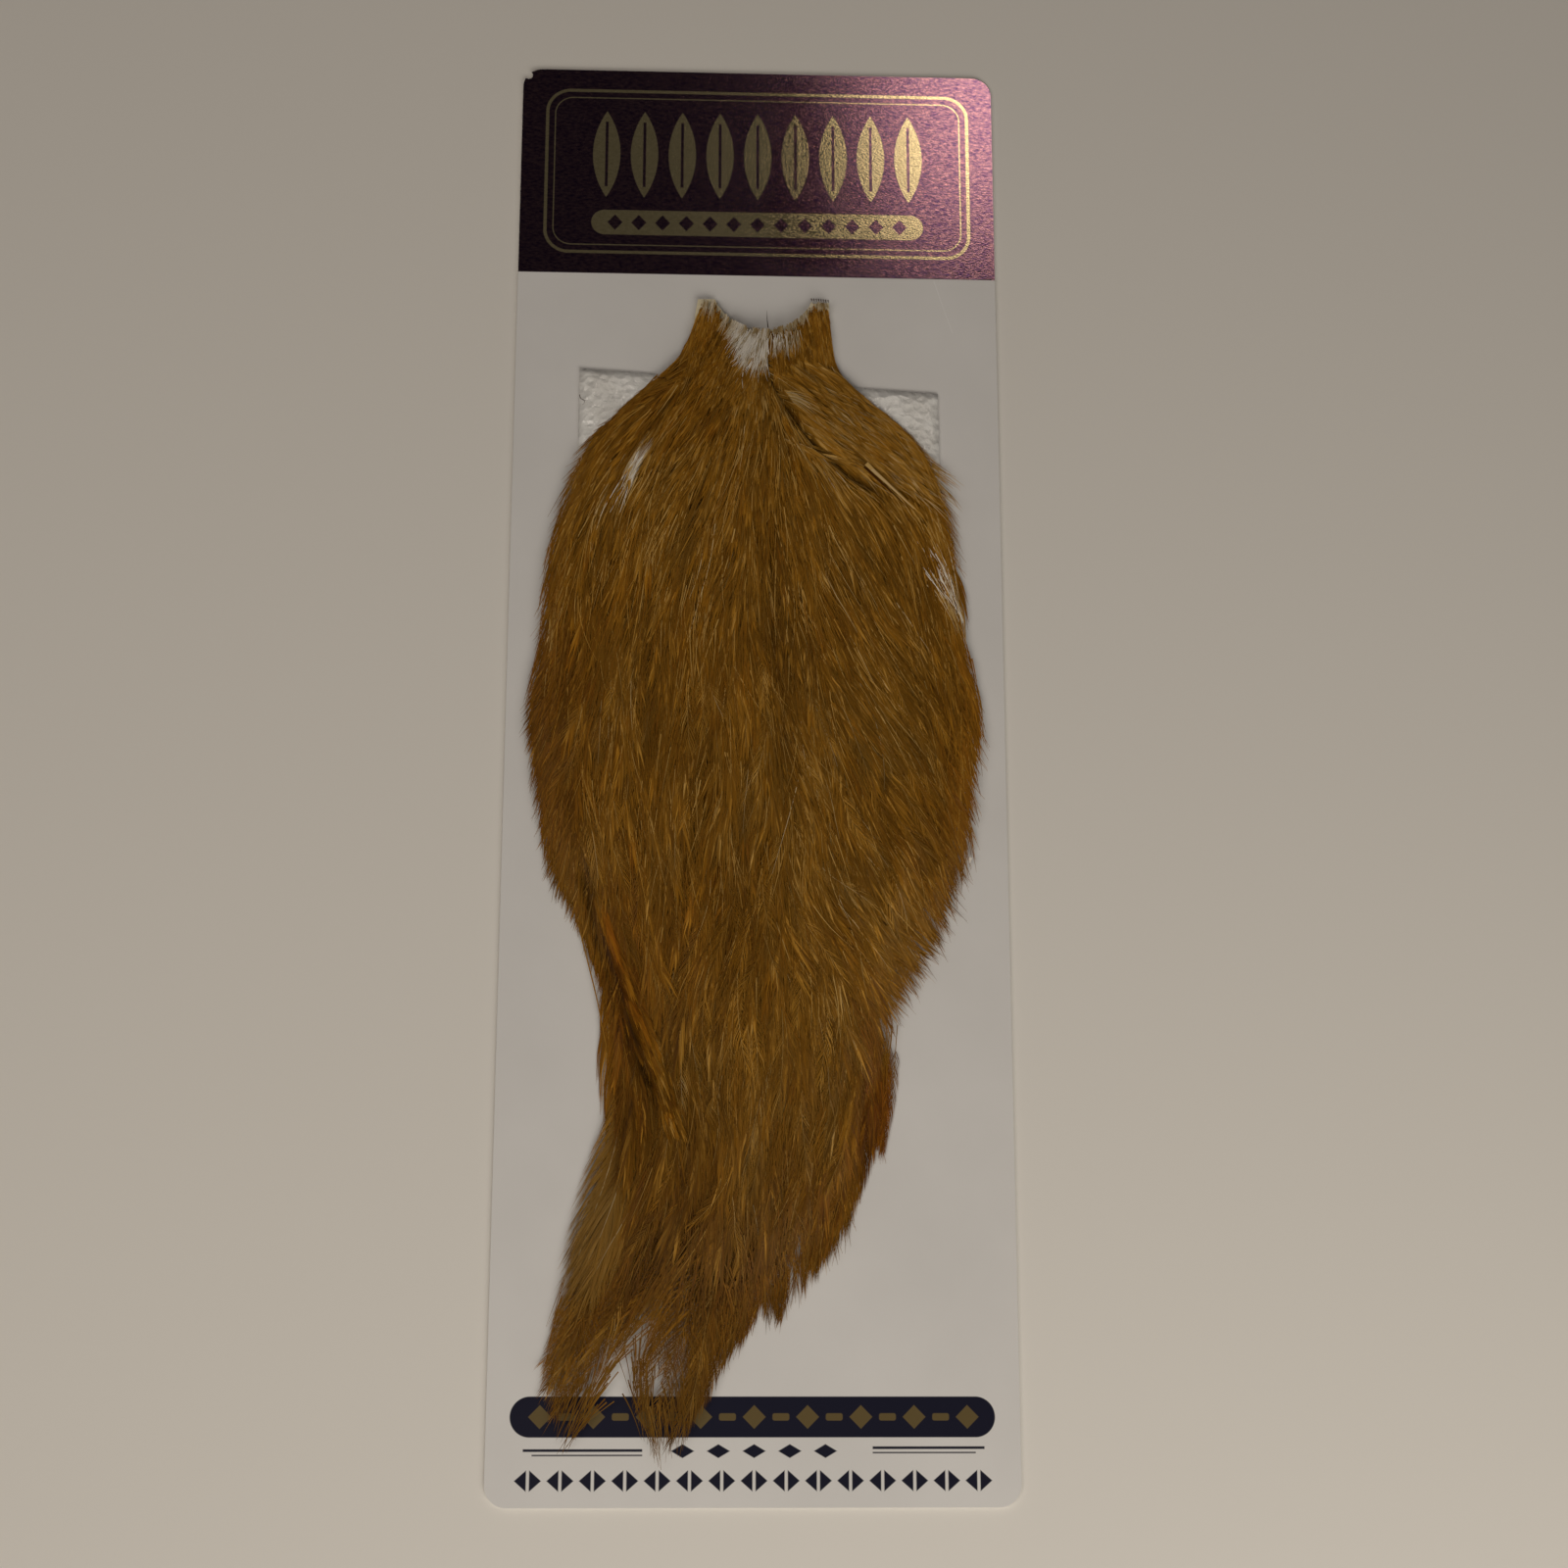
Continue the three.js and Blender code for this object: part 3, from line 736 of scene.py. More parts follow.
def shaft_mesh(plumes, segments=8, start=0.2):
    """The shafts: a low roof along each centre line that thins out to the tip."""
    many = len(plumes.length)
    which = np.repeat(np.arange(many), segments + 1)
    along = np.tile(np.linspace(start, 1.0, segments + 1), many)
    width = (0.08 + 0.30 * (1 - along)) * np.clip(plumes.length[which] / 60, 0.5, 1.1)
    rows = [plumes.place(which, along, offset * width / 2) for offset in (-1, 0, 1)]
    rows[1][:, 2] += 0.5 * width + 0.06
    rows[0][:, 2] += 0.05
    rows[2][:, 2] += 0.05
    verts = np.stack(rows, 1)
    first = (np.arange(many) * (segments + 1))[:, None] + np.arange(segments)[None]
    first = 3 * first.ravel()
    quads = [(0, 3, 4, 1), (1, 4, 5, 2)]
    tris = [(a, b, c) for a, b, c, d in quads] + [(a, c, d) for a, b, c, d in quads]
    tris = (first[:, None, None] + np.array(tris)[None]).reshape(-1, 3)
    tris = tris[:, ::-1]
    hue = np.clip(plumes.hue[which] + 0.12 + 0.14 * plumes.split[which], 0, 0.95)
    bright = plumes.bright[which] * (1.1 + 0.5 * plumes.split[which] - 0.1 * along)
    hue, bright = shade(verts[:, 1], hue, bright)
    hue_three = hue[:, None] + np.array([-0.006, 0.0, 0.006])
    # painted shading: the shaft's ridge is lighter than its sides
    bright_three = bright[:, None] * np.array([0.9, 1.05, 0.9])
    uv = np.stack([hue_three, np.minimum(bright_three, 0.995)], 2)
    return verts.reshape(-1, 3), tris, uv.reshape(-1, 2)


# Places on the cape whose feathers are pale: x, y, radii across and along, degrees, how white
PALE_PATCHES = [
    (-1.8, 99.0, 3.2, 6.0, -30, 0.9),
    (-29.0, 69.0, 2.2, 7.5, -28, 0.9),
    (-38.0, 56.0, 1.2, 5.0, -14, 0.5),
    (49.6, 31.0, 1.0, 8.5, 6, 0.85),
    (-49.5, 25.0, 2.4, 5.0, -8, 0.45),
]


# Broad tones and painted light: x, y, radii across and along, change of hue and share of brightness. The hue is the
# plumage's own; the brightness is partly painted light, a painted highlight over the crown and the flap and painted
# shade on the sides and the tail.
TONES_AND_PAINTED_LIGHT = [
    (-54, 0, 17, 55, -0.10, 0.80),
    (54, -5, 12, 45, -0.08, 0.95),
    (33, 76, 14, 9, 0.06, 1.38),
    (-9.5, 100, 3.5, 6, -0.06, 0.74),
    (9, 96, 4, 6, -0.05, 0.80),
    (0, 80, 40, 32, 0.01, 1.20),
    (0, -30, 70, 60, 0.00, 0.84),
    (0, 30, 26, 60, 0.03, 1.03),
    (-10, -125, 40, 42, -0.05, 0.58),
    (32, -45, 14, 12, 0.04, 1.08),
    (-30, -166, 40, 14, 0.06, 0.62),
    (30, -90, 5, 12, -0.30, 0.72),
    (25.5, -95, 1.6, 11, -0.2, 0.5),
    (-31, -52, 5, 26, -0.14, 0.88),
]


def shade(points, hue, bright):
    """The tones of barbs at their places on the cape, with painted shade in the partings and between locks, and the
    painted light of the broad tones.
    """
    x, y = points[:, 0], points[:, 1]
    broad = smooth_noise(x, y, 16.0, 11) - 0.5
    hue = hue + 0.10 * broad
    # painted shade: darker in the partings and in the dips between locks, lighter on the raised locks
    bright = bright * (1 + 0.62 * clump(x, y)) * (1 - 0.62 * parting(x, y)[0])
    for tx, ty, wide, high, redder, factor in TONES_AND_PAINTED_LIGHT:
        amount = np.exp(-((x - tx) / wide) ** 2 - ((y - ty) / high) ** 2)
        hue = hue + redder * amount
        bright = bright * (1 + (factor - 1) * amount)
    for px, py, wide, high, turn, white in PALE_PATCHES:
        c, s = math.cos(math.radians(turn)), math.sin(math.radians(turn))
        aside = (x - px) * c + (y - py) * s
        ahead = -(x - px) * s + (y - py) * c
        amount = np.exp(-(aside / wide) ** 2 - (ahead / high) ** 2) * white
        amount = np.clip(amount * 2.1 - 1.1 * smooth_noise(3.0 * aside, 0.35 * ahead, 1.6, 14), 0, 1)
        hue = hue + (0.97 - hue) * amount
        bright = bright + (1.0 - bright) * amount
    return np.clip(hue, 0.01, 0.99), np.clip(bright, 0.06, 0.99)


def polygon_has(outline, points):
    inside_it = np.zeros(len(points), bool)
    x, y = points[:, 0], points[:, 1]
    for (ax, ay), (bx, by) in zip(outline, np.roll(outline, -1, axis=0)):
        crosses = (ay > y) != (by > y)
        with np.errstate(divide="ignore", invalid="ignore"):
            at = (bx - ax) * (y - ay) / (by - ay) + ax
        inside_it ^= crosses & (x < at)
    return inside_it


OUTLINE = np.array(LEFT_SIDE + RIGHT_SIDE, float)

# Sizes along the cape: y of the tip, feather length, half width and spacing of tips, in mm
SIZES = np.array([
    [104, 12, 0.8, 1.5],
    [96, 18, 1.0, 1.8],
    [84, 30, 1.5, 2.5],
    [60, 44, 2.0, 3.3],
    [20, 58, 2.5, 4.0],
    [-30, 70, 2.9, 4.5],
    [-80, 84, 3.3, 5.0],
    [-130, 98, 3.6, 5.0],
    [-168, 104, 3.4, 5.0],
])


def sized(y, column):
    return np.interp(y, SIZES[::-1, 0], SIZES[::-1, column])


TAIL_TOP = -126.0  # below it the long tail feathers make the outline
SAIL_AREA = [(-32, -86), (-50, -86), (-52, -136), (-40, -136), (-34, -120), (-31, -104)]  # only thin vanes here


def inset_of(points):
    """How far inside the outline points are, in mm."""
    closed = np.concatenate([OUTLINE, OUTLINE[:1]])
    return line_distance(points[:, 0], points[:, 1], closed)


def scatter_tips():
    """Tips all over the cape, in staggered rows with some disorder."""
    rows = []
    y = HORN_TOP - 2.0
    odd = 0.0
    while y > -168:
        gap = sized(y, 3)
        x = np.arange(-62, 62, gap) + odd * gap / 2
        row = np.column_stack([x, np.full(len(x), y)])
        row += rng.normal(0, 0.30, row.shape) * gap
        rows.append(row)
        y -= gap * 0.86
        odd = 1.0 - odd
    tips = np.concatenate(rows)
    tips = tips[polygon_has(OUTLINE, tips) & (tips[:, 1] < rim_y(tips[:, 0]) - 9.0)]
    margin = np.interp(tips[:, 1], [-130, -100, 60, 90, 100], [7.0, 5.5, 4.2, 2.4, 1.2])
    tips = tips[(inset_of(tips) > margin) & (tips[:, 1] > TAIL_TOP)]
    return tips[~polygon_has(np.array(SAIL_AREA), tips)]


def edge_tips():
    """Tips along the cape's sides and tail, where they make the ragged outline."""
    found = []
    for side in (LEFT_SIDE, RIGHT_SIDE):
        line = np.array(side, float)
        for a, b in zip(line[:-1], line[1:]):
            if max(a[1], b[1]) > 90 or min(a[1], b[1]) < TAIL_TOP:
                continue
            steps = max(int(np.hypot(*(b - a)) / 1.5), 1)
            share = (np.arange(steps) + rng.random(steps)) / steps
            found.append(a + (b - a) * share[:, None])
    found = np.concatenate(found)
    found = found[~polygon_has(np.array(SAIL_AREA), found)]
    middle = bed_frame(found[:, 0], found[:, 1])
    inward = np.sign((middle[0] + middle[1]) / 2 - found[:, 0])
    back = np.interp(found[:, 1], [-160, -120, 40, 100], [2.0, 3.0, 2.2, 0.8])
    found[:, 0] += inward * back * np.interp(found[:, 1], [0, 60], [1.15, 1.5])
    found[:, 1] += back * 0.7
    return found


def plumes_at(tips, lean=0.0, lift_spread=0.2, narrow=1.0, bearing=None, hue=0.45, bright=0.64, lift=0.0,
              longer=1.0, spread=1.0):
    many = len(tips)
    x, y = tips[:, 0], tips[:, 1]
    length = sized(y, 1) * rng.uniform(0.9, 1.1, many) * longer
    half_width = sized(y, 2) * rng.uniform(0.82, 1.12, many) * narrow
    hue = hue + rng.normal(0, 0.035, many)
    bright = bright * rng.uniform(0.90, 1.10, many)
    lean = lean + rng.normal(0, 0.04, many) + group_turn(x, y)
    curl = rng.normal(0, 0.10, many)
    lift = lift + rng.normal(0, lift_spread, many)
    return Plumes(tips, length, half_width, hue, bright, lean, curl, lift, bearing, spread=spread)


def join(parts):
    verts, tris, uv = [], [], []
    count = 0
    for part_verts, part_tris, part_uv in parts:
        verts.append(part_verts)
        tris.append(part_tris + count)
        uv.append(part_uv)
        count += len(part_verts)
    return np.concatenate(verts), np.concatenate(tris), np.concatenate(uv)


def feather_piece(name, plumes, pitch, width, start, material):
    verts, tris, uv = join([barb_mesh(plumes, pitch, start, width), shaft_mesh(plumes)])
    print("feathers", name, len(plumes.length), "triangles", len(tris))
    piece = make_triangles(name, verts, tris, uv, material)
    attach(piece, "cape")
    return piece


def attach(piece, node):
    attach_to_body(piece, "root")
    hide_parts(node)


BANDS = [
    ("feathers_neck", 200, 70, 0.50, 0.28, 0.10, 0.75),
    ("feathers_shoulder", 70, 20, 0.61, 0.34, 0.40, 0.78),
    ("feathers_back", 20, -40, 0.63, 0.34, 0.45, 0.80),
    ("feathers_saddle", -40, -200, 0.66, 0.34, 0.45, 0.90),
]


def add_feathers(material):
    tips = scatter_tips()
    for name, high, low, pitch, width, start, spread in BANDS:
        chosen = tips[(tips[:, 1] <= high) & (tips[:, 1] > low)]
        feather_piece(name, plumes_at(chosen, spread=spread), pitch, width, start, material)
    edge = edge_tips()
    middle = bed_frame(edge[:, 0], edge[:, 1])
    side = np.sign(edge[:, 0] - (middle[0] + middle[1]) / 2)
    lean = side * np.interp(edge[:, 1], [-120, -60, 60, 90], [0.05, 0.18, 0.18, 0.04])
    plumes = plumes_at(edge, lean, 0.15, 0.9)
    feather_piece("feathers_edge", plumes, 0.85, 0.30, 0.55, material)


# The long tail feathers: a line of tips, how many, half width, bearing in degrees and spread of the barbs
TAIL_ROWS = [
    ((-48.5, -147), (-47.5, -156), 4, 4.0, -19, 1.6),
    ((-47, -149), (-45, -165), 9, 5.0, -14, 2.0),
    ((-43, -161), (-37, -148), 9, 4.6, -19, 1.9),
    ((-35, -147), (-30, -141), 7, 4.6, -27, 1.9),
    ((-27, -146), (-22, -169), 9, 4.4, -12, 1.8),
    ((-20, -168), (-11, -153), 12, 3.8, -10, 1.5),
    ((-8, -150), (-1, -139), 12, 2.6, -9, 1.1),
    ((1, -137), (6, -138), 8, 2.2, -7, 1.1),
    ((9, -131), (16, -124), 12, 2.4, -9, 1.1),
    ((18, -121), (22, -117), 9, 2.6, -8, 1.2),
    ((20.5, -114), (22.5, -107), 8, 2.2, -5, 1.2),
    ((27.0, -98.5), (31.0, -100.5), 14, 1.5, -1, 1.1),
]
# The smooth broad vanes on the left of the tail: tip, length, half width and bearing in degrees
SAILS = [
    ((-40.8, -122), 52, 5.4, -13),
    ((-39.8, -126), 52, 5.4, -15),
    ((-38.5, -123), 48, 5.4, -16),
    ((-37.5, -129), 52, 5.4, -18),
    ((-36.0, -118), 44, 5.0, -12),
    ((-35.0, -125), 48, 5.4, -17),
]


def add_tail(material):
    tips, half_width, bearing, spread = [], [], [], []
    for first, last, many, half, degrees, wide in TAIL_ROWS:
        share = (np.arange(many) + rng.random(many)) / many
        first, last = np.array(first, float), np.array(last, float)
        tips.append(first + (last - first) * share[:, None])
        half_width.append(np.full(many, half))
        bearing.append(np.full(many, math.radians(degrees)))
        spread.append(np.full(many, wide))
    tips, half_width, bearing, spread = [np.concatenate(part) for part in (tips, half_width, bearing, spread)]
    many = len(tips)
    back = 2.0 + 18.0 * rng.random(many) ** 1.5 * np.clip(spread - 0.9, 0.15, 1)
    tips += np.stack([-np.sin(bearing), np.cos(bearing)], 1) * back[:, None]
    bearing += rng.normal(0, 0.05, many)
    plumes = Plumes(tips, np.where(tips[:, 0] > 20, 34, 66) * rng.uniform(0.9, 1.1, many), half_width * rng.uniform(0.8, 1.2, many),
                    0.42 + rng.normal(0, 0.04, many), 0.56 * rng.uniform(0.85, 1.15, many), 0.0,
                    np.where(tips[:, 0] > 0, -0.05, -0.25) + rng.normal(0, 0.06, many), rng.normal(0, 0.2, many),
                    bearing, spread=spread)
    feather_piece("feathers_tail", plumes, 1.0, 0.17, 0.35, material)
    tips, length, half, degrees = [np.array(column, float) for column in zip(*SAILS)]
    many = len(tips)
    plumes = Plumes(tips, length, half, np.full(many, 0.64), np.full(many, 0.70), 0.0, np.full(many, -0.35),
                    np.linspace(0.4, 0.9, many), np.radians(degrees), spread=0.95, calm=0.2)
    feather_piece("feathers_sail", plumes, 0.42, 0.2, 0.1, material)


# Open feathers that sweep out over the others: tip x and y, bearing in degrees, curl and half width
SWEEPS = [
    (18.8, -57.0, 28, 0.45, 3.0),
    (32.4, -64.6, 28, 0.50, 3.6),
    (35.2, -56.5, 33, 0.50, 3.4),
    (26.0, -66.0, 24, 0.40, 3.2),
    (24.0, -80.0, 14, 0.35, 3.0),
    (9.0, -70.0, -4, -0.20, 3.0),
    (-3.0, -62.0, -20, -0.35, 3.2),
    (-27.0, -46.0, 8, -0.25, 3.0),
    (-30.0, -38.0, 6, 0.10, 2.6),
    (-10.0, -90.0, -8, -0.25, 3.2),
]


def add_sweeps(material):
    """Open feathers with thin pale barbs apart from each other, on top of the lower half."""
    x, y, degrees, curl, half = np.array(SWEEPS).T
    chosen = scatter_tips()
    chosen = chosen[(chosen[:, 1] < 5) & (rng.random(len(chosen)) < 0.16)]
    many = len(chosen)
    tips = np.concatenate([np.column_stack([x, y]), chosen])
    bearing = np.concatenate([np.radians(degrees), flow_angle(chosen) + rng.normal(0, 0.16, many)])
    curl = np.concatenate([curl, rng.normal(0, 0.30, many)])
    half = np.concatenate([half, rng.uniform(2.2, 3.4, many)])
    many = len(tips)
    plumes = Plumes(tips, rng.uniform(24, 34, many), half, 0.51 + rng.normal(0, 0.05, many),
                    rng.uniform(0.50, 1.0, many), 0.0, curl, rng.uniform(0.3, 0.6, many), bearing, pile=1.2,
                    spread=1.45, calm=0.8)
    feather_piece("feathers_open", plumes, 0.80, 0.16, 0.30, material)


def downstream(roots, length):
    """Where feathers from these roots end, along the flow."""
    here = roots.copy()
    for _ in range(STATIONS):
        angle = flow_angle(here)
        here = here + np.stack([np.sin(angle), -np.cos(angle)], 1) * (length / STATIONS)[:, None]
    return here


def add_neck(material):
    """The short fine feathers that start at the cut rim of the skin."""
    roots = []
    for depth in np.arange(0.95, 15, 1.2):
        x = np.arange(-14.2, 18.2, 0.85)
        x = x + rng.normal(0, 0.2, len(x))
        y = rim_y(x) - depth + rng.normal(0, 0.25, len(x))
        roots.append(np.column_stack([x, y]))
    roots = np.concatenate(roots)
    roots = roots[polygon_has(OUTLINE, roots)]
    length = rng.uniform(8, 13, len(roots))
    tips = downstream(roots, length)
    many = len(tips)
    hue = 0.45 + rng.normal(0, 0.03, many)
    bright = 0.68 * rng.uniform(0.9, 1.1, many)
    half_width = rng.uniform(0.5, 0.8, many)
    lift = rng.normal(0.1, 0.1, many)
    plumes = Plumes(tips, length, half_width, hue, bright, 0.0, rng.normal(0, 0.05, many), lift, pile=0.7)
    feather_piece("feathers_rim", plumes, 0.62, 0.24, 0.0, material)


def hair_piece(name, roots, angle, bend, length, width, hue, bright, lift, material, segments=5, flow=False,
               rise=0.2):
    """Single strands: flat strips that turn by bend over their length and rise from that share of lift at the
    root to lift at the tip. With flow, their angle is counted from how the feathers lie."""
    many = len(roots)
    here = roots.copy()
    rows, light = [], []
    for count in range(segments + 1):
        share = count / segments
        turn = angle + bend * share + (flow_angle(here) if flow else 0.0)
        heading = np.stack([np.sin(turn), -np.cos(turn)], 1)
        side = np.stack([heading[:, 1], -heading[:, 0]], 1)
        half = width * (1 - 0.85 * share) / 2
        z = bed_height(here[:, 0], here[:, 1]) + lift * (rise + (1 - rise) * share)
        z = np.maximum(z, CARD_TOP + 0.3)
        for sign in (-1, 1):
            rows.append(np.column_stack([here + sign * side * half[:, None], z]))
            # painted shade: the strand is darker where it lies in a parting
            light.append(1 - 0.55 * parting(here[:, 0], here[:, 1])[0])
        here = here + heading * (length / segments)[:, None]
    verts = np.stack(rows, 1)
    stride = 2 * (segments + 1)
    first = (np.arange(many) * stride)[:, None] + 2 * np.arange(segments)[None]
    tris = (first.reshape(-1, 1, 1) + np.array([[0, 2, 3], [0, 3, 1]])[None]).reshape(-1, 3)
    hue, bright = np.clip(hue, 0.01, 0.98), np.clip(bright, 0.05, 0.98)
    u = hue[:, None] + np.tile([-0.005, 0.005], segments + 1)[None]
    # painted shade: each strand is a little darker towards its root, times the painted shade of the partings
    v = bright[:, None] * np.linspace(0.92, 1.0, stride)[None] * np.stack(light, 1)
    uv = np.stack([u, v], 2)
    piece = make_triangles(name, verts.reshape(-1, 3), tris, uv.reshape(-1, 2), material)
    attach(piece, "cape")


def add_fringe(material):
    """Loose barbs that reach past the sides."""
    line = [a for a in LEFT_SIDE if a[1] < 90] + [a for a in RIGHT_SIDE if a[1] < 83]
    line = np.array(line, float)
    step = np.hypot(*np.diff(line, axis=0).T)
    reach = np.concatenate([[0], np.cumsum(step)])
    at = np.arange(0, reach[-1], 0.30)
    at = at + rng.uniform(-0.2, 0.2, len(at))
    edge = np.column_stack([np.interp(at, reach, line[:, 0]), np.interp(at, reach, line[:, 1])])
    edge = edge[~polygon_has(np.array(SAIL_AREA), edge)]
    middle = bed_frame(edge[:, 0], edge[:, 1])
    side = np.sign(edge[:, 0] - (middle[0] + middle[1]) / 2)
    many = len(edge)
    angle = flow_angle(edge) + side * np.abs(rng.normal(0.30, 0.16, many))
    bend = -side * rng.uniform(0.0, 0.35, many)
    length = rng.uniform(7, 14, many)
    beyond = rng.uniform(-4.5, 1.6, many) + np.interp(edge[:, 1], [10, 50], [0, 1.2])
    heading = np.stack([np.sin(angle), -np.cos(angle)], 1)
    roots = edge - heading * (length - beyond)[:, None]
    hue, bright = 0.46 + rng.normal(0, 0.06, many), 0.70 * rng.uniform(0.75, 1.2, many)
    width = rng.uniform(0.20, 0.34, many)
    hue, bright = shade(edge, hue, bright)
    hair_piece("fringe", roots, angle, bend, length, width, hue, bright, rng.uniform(-0.2, 0.5, many), material)


# Single strands: root x and y, degrees, length, width, hue, brightness, lift and bend in degrees
ACCENTS = [
    (25.9, 66.4, 46, 15.5, 0.70, 0.10, 0.16, 2.6, 2),  # a dark strip painted as the shadow beside the pale quill
    (26.3, 67.0, 46, 16.5, 1.05, 0.76, 0.98, 3.3, 3),
    (27.0, 66.3, 46, 15.0, 0.60, 0.62, 0.80, 3.2, 1),
    (27.7, 65.6, 47, 14.0, 0.70, 0.80, 0.98, 3.4, -2),
    (28.6, 64.6, 48, 10.0, 0.40, 0.66, 0.90, 3.0, -4),
    (2.6, 104.6, 188, 5.0, 0.26, 0.10, 0.10, 0.3, -12),  # the dark hair in the notch
    (-24.6, 90.8, 40, 2.6, 0.24, 0.10, 0.08, 3.0, 150),  # dark curls on the padding
    (-23.6, 90.2, 95, 2.4, 0.22, 0.10, 0.08, 3.0, -170),
    (-43.8, 86.6, 5, 3.0, 0.22, 0.10, 0.10, 2.6, 120),
    (-43.2, 85.4, 60, 2.2, 0.20, 0.10, 0.10, 2.6, -150),
    (50.9, -29.0, -10, 1.4, 0.80, 0.99, 0.98, 1.2, 0),  # the white speck at the right side
]


def add_accents(material):
    """The pale quill with a painted shadow strip beside it and the tuft on the flap, the quill stubs on the right
    horn, and other single strands.
    """
    rows = list(ACCENTS)
    for count in range(9):
        share = count / 8
        rows.append((6.8 + 1.8 * share, 86.2 - 3.4 * share, 86 - 34 * share, 8.5 - 4.0 * abs(share - 0.4), 0.22,
                     0.74 + 0.08 * (count % 2), 0.95 - 0.3 * (count % 3 == 1), 2.6 + 0.3 * share, -22))
    for count in range(8):
        rows.append((13.4 + 0.6 * count, 113.2, 10, 0.9, 0.34, 0.10, 0.12, 0.9, 0))
    x, y, degrees, length, width, hue, bright, lift, bend = np.array(rows).T
    hair_piece("pale_quill", np.column_stack([x, y]), np.radians(degrees), np.radians(bend), length, width, hue,
               bright, lift, material, rise=0.85)


def add_rim_streaks(material):
    """White down in short streaks below the cut rim, and the white tuft beside the slit."""
    x = np.arange(-14.2, 17.8, 0.045)
    dab = smooth_noise(x, 0 * x, 0.85, 71)
    x, dab = x[dab > 0.40], dab[dab > 0.40]
    rim = np.column_stack([x, rim_y(x) - rng.uniform(0.7, 1.6, len(x))])
    tuft = points_in([(-6.0, 105.2), (2.7, 103.8), (2.6, 96.0), (-0.5, 95.2), (-3.4, 99)], 0.38)
    right = points_in([(3.2, 103.5), (11, 105), (9, 101.5), (3.6, 99)], 0.6)
    many = len(rim) + len(tuft) + len(right)
    roots = np.concatenate([rim, tuft, right])
    short = np.interp(x, [-14.2, -12.5, -10.0, -4.0, 3.0, 12.0, 17.8], [0.5, 1.1, 1.4, 1.2, 0.8, 0.9, 0.5])
    length = [(0.6 + 3.8 * dab) * short, np.full(len(tuft), 5.4), np.full(len(right), 4.5)]
    length = np.concatenate(length) * rng.uniform(0.45, 1.35, many)
    aside = 3.0 * (0.81 * roots[:, 0] - 0.59 * roots[:, 1])
    tone = np.clip(2.6 * smooth_noise(aside, 0.2 * roots[:, 1], 1.9, 72) - 0.60, 0, 1)
    tone[:len(rim)] = 1.5 * dab - 0.5
    tone[len(rim) + len(tuft):] *= 0.8
    whole = np.repeat([0.0, 1.0, 0.4], [len(rim), len(tuft), len(right)])
    hue = np.clip(0.76 + 0.07 * whole + 0.22 * tone + rng.normal(0, 0.03, many), 0, 0.99)
    bright = np.clip(0.50 + 0.10 * whole + 0.52 * tone + rng.normal(0, 0.08, many), 0.3, 0.99)
    lift = rng.uniform(0.2, 0.6, many)
    hair_piece("rim_streaks", roots, rng.normal(0, 0.12, many), rng.normal(0, 0.1, many), length,
               0.20 + 0.05 * whole, hue, bright, lift, material, 4, True)


def add_golden(material):
    """Bright strands along the lower side of the crease, and over the flap bright strands that are partly painted
    highlight, with near-white painted glints among them.
    """
    line = np.array(CREASE, float)
    share = rng.uniform(0.2, 3.2, 130)
    at = np.minimum(share.astype(int), len(line) - 2)
    along = line[at + 1] - line[at]
    here = line[at] + along * (share - at)[:, None]
    along /= np.linalg.norm(along, axis=1, keepdims=True)
    away = rng.uniform(0.4, 4.0, len(here))
    here = here + np.column_stack([along[:, 1], -along[:, 0]]) * away[:, None]
    crease_turn = np.arctan2(along[:, 0], -along[:, 1]) - flow_angle(here)
    turn = crease_turn * np.clip(1.1 - away / 4.0, 0, 1) + rng.normal(0, 0.06, len(here))
    flap = points_in(FLAP, 1.15)
    roots = np.concatenate([here, flap])
    flap_turn = math.radians(48) - flow_angle(flap) + rng.normal(0, 0.09, len(flap))
    turn = np.concatenate([turn, flap_turn])
    many = len(roots)
    lift = np.concatenate([np.full(len(here), 0.5), np.full(len(flap), 2.1)]) + rng.uniform(-0.1, 0.3, many)
    hue, bright = 0.62 + rng.normal(0, 0.09, many), rng.uniform(0.5, 1.4, many)
    # painted glints: some of the flap's strands made near white
    hue[(rng.random(many) < 0.18) & (np.arange(many) >= len(here))] = 0.80
    hair_piece("golden_strands", roots, turn, rng.normal(0, 0.12, many), rng.uniform(4, 10, many),
               rng.uniform(0.18, 0.34, many), hue, bright, lift, material, 5, True)


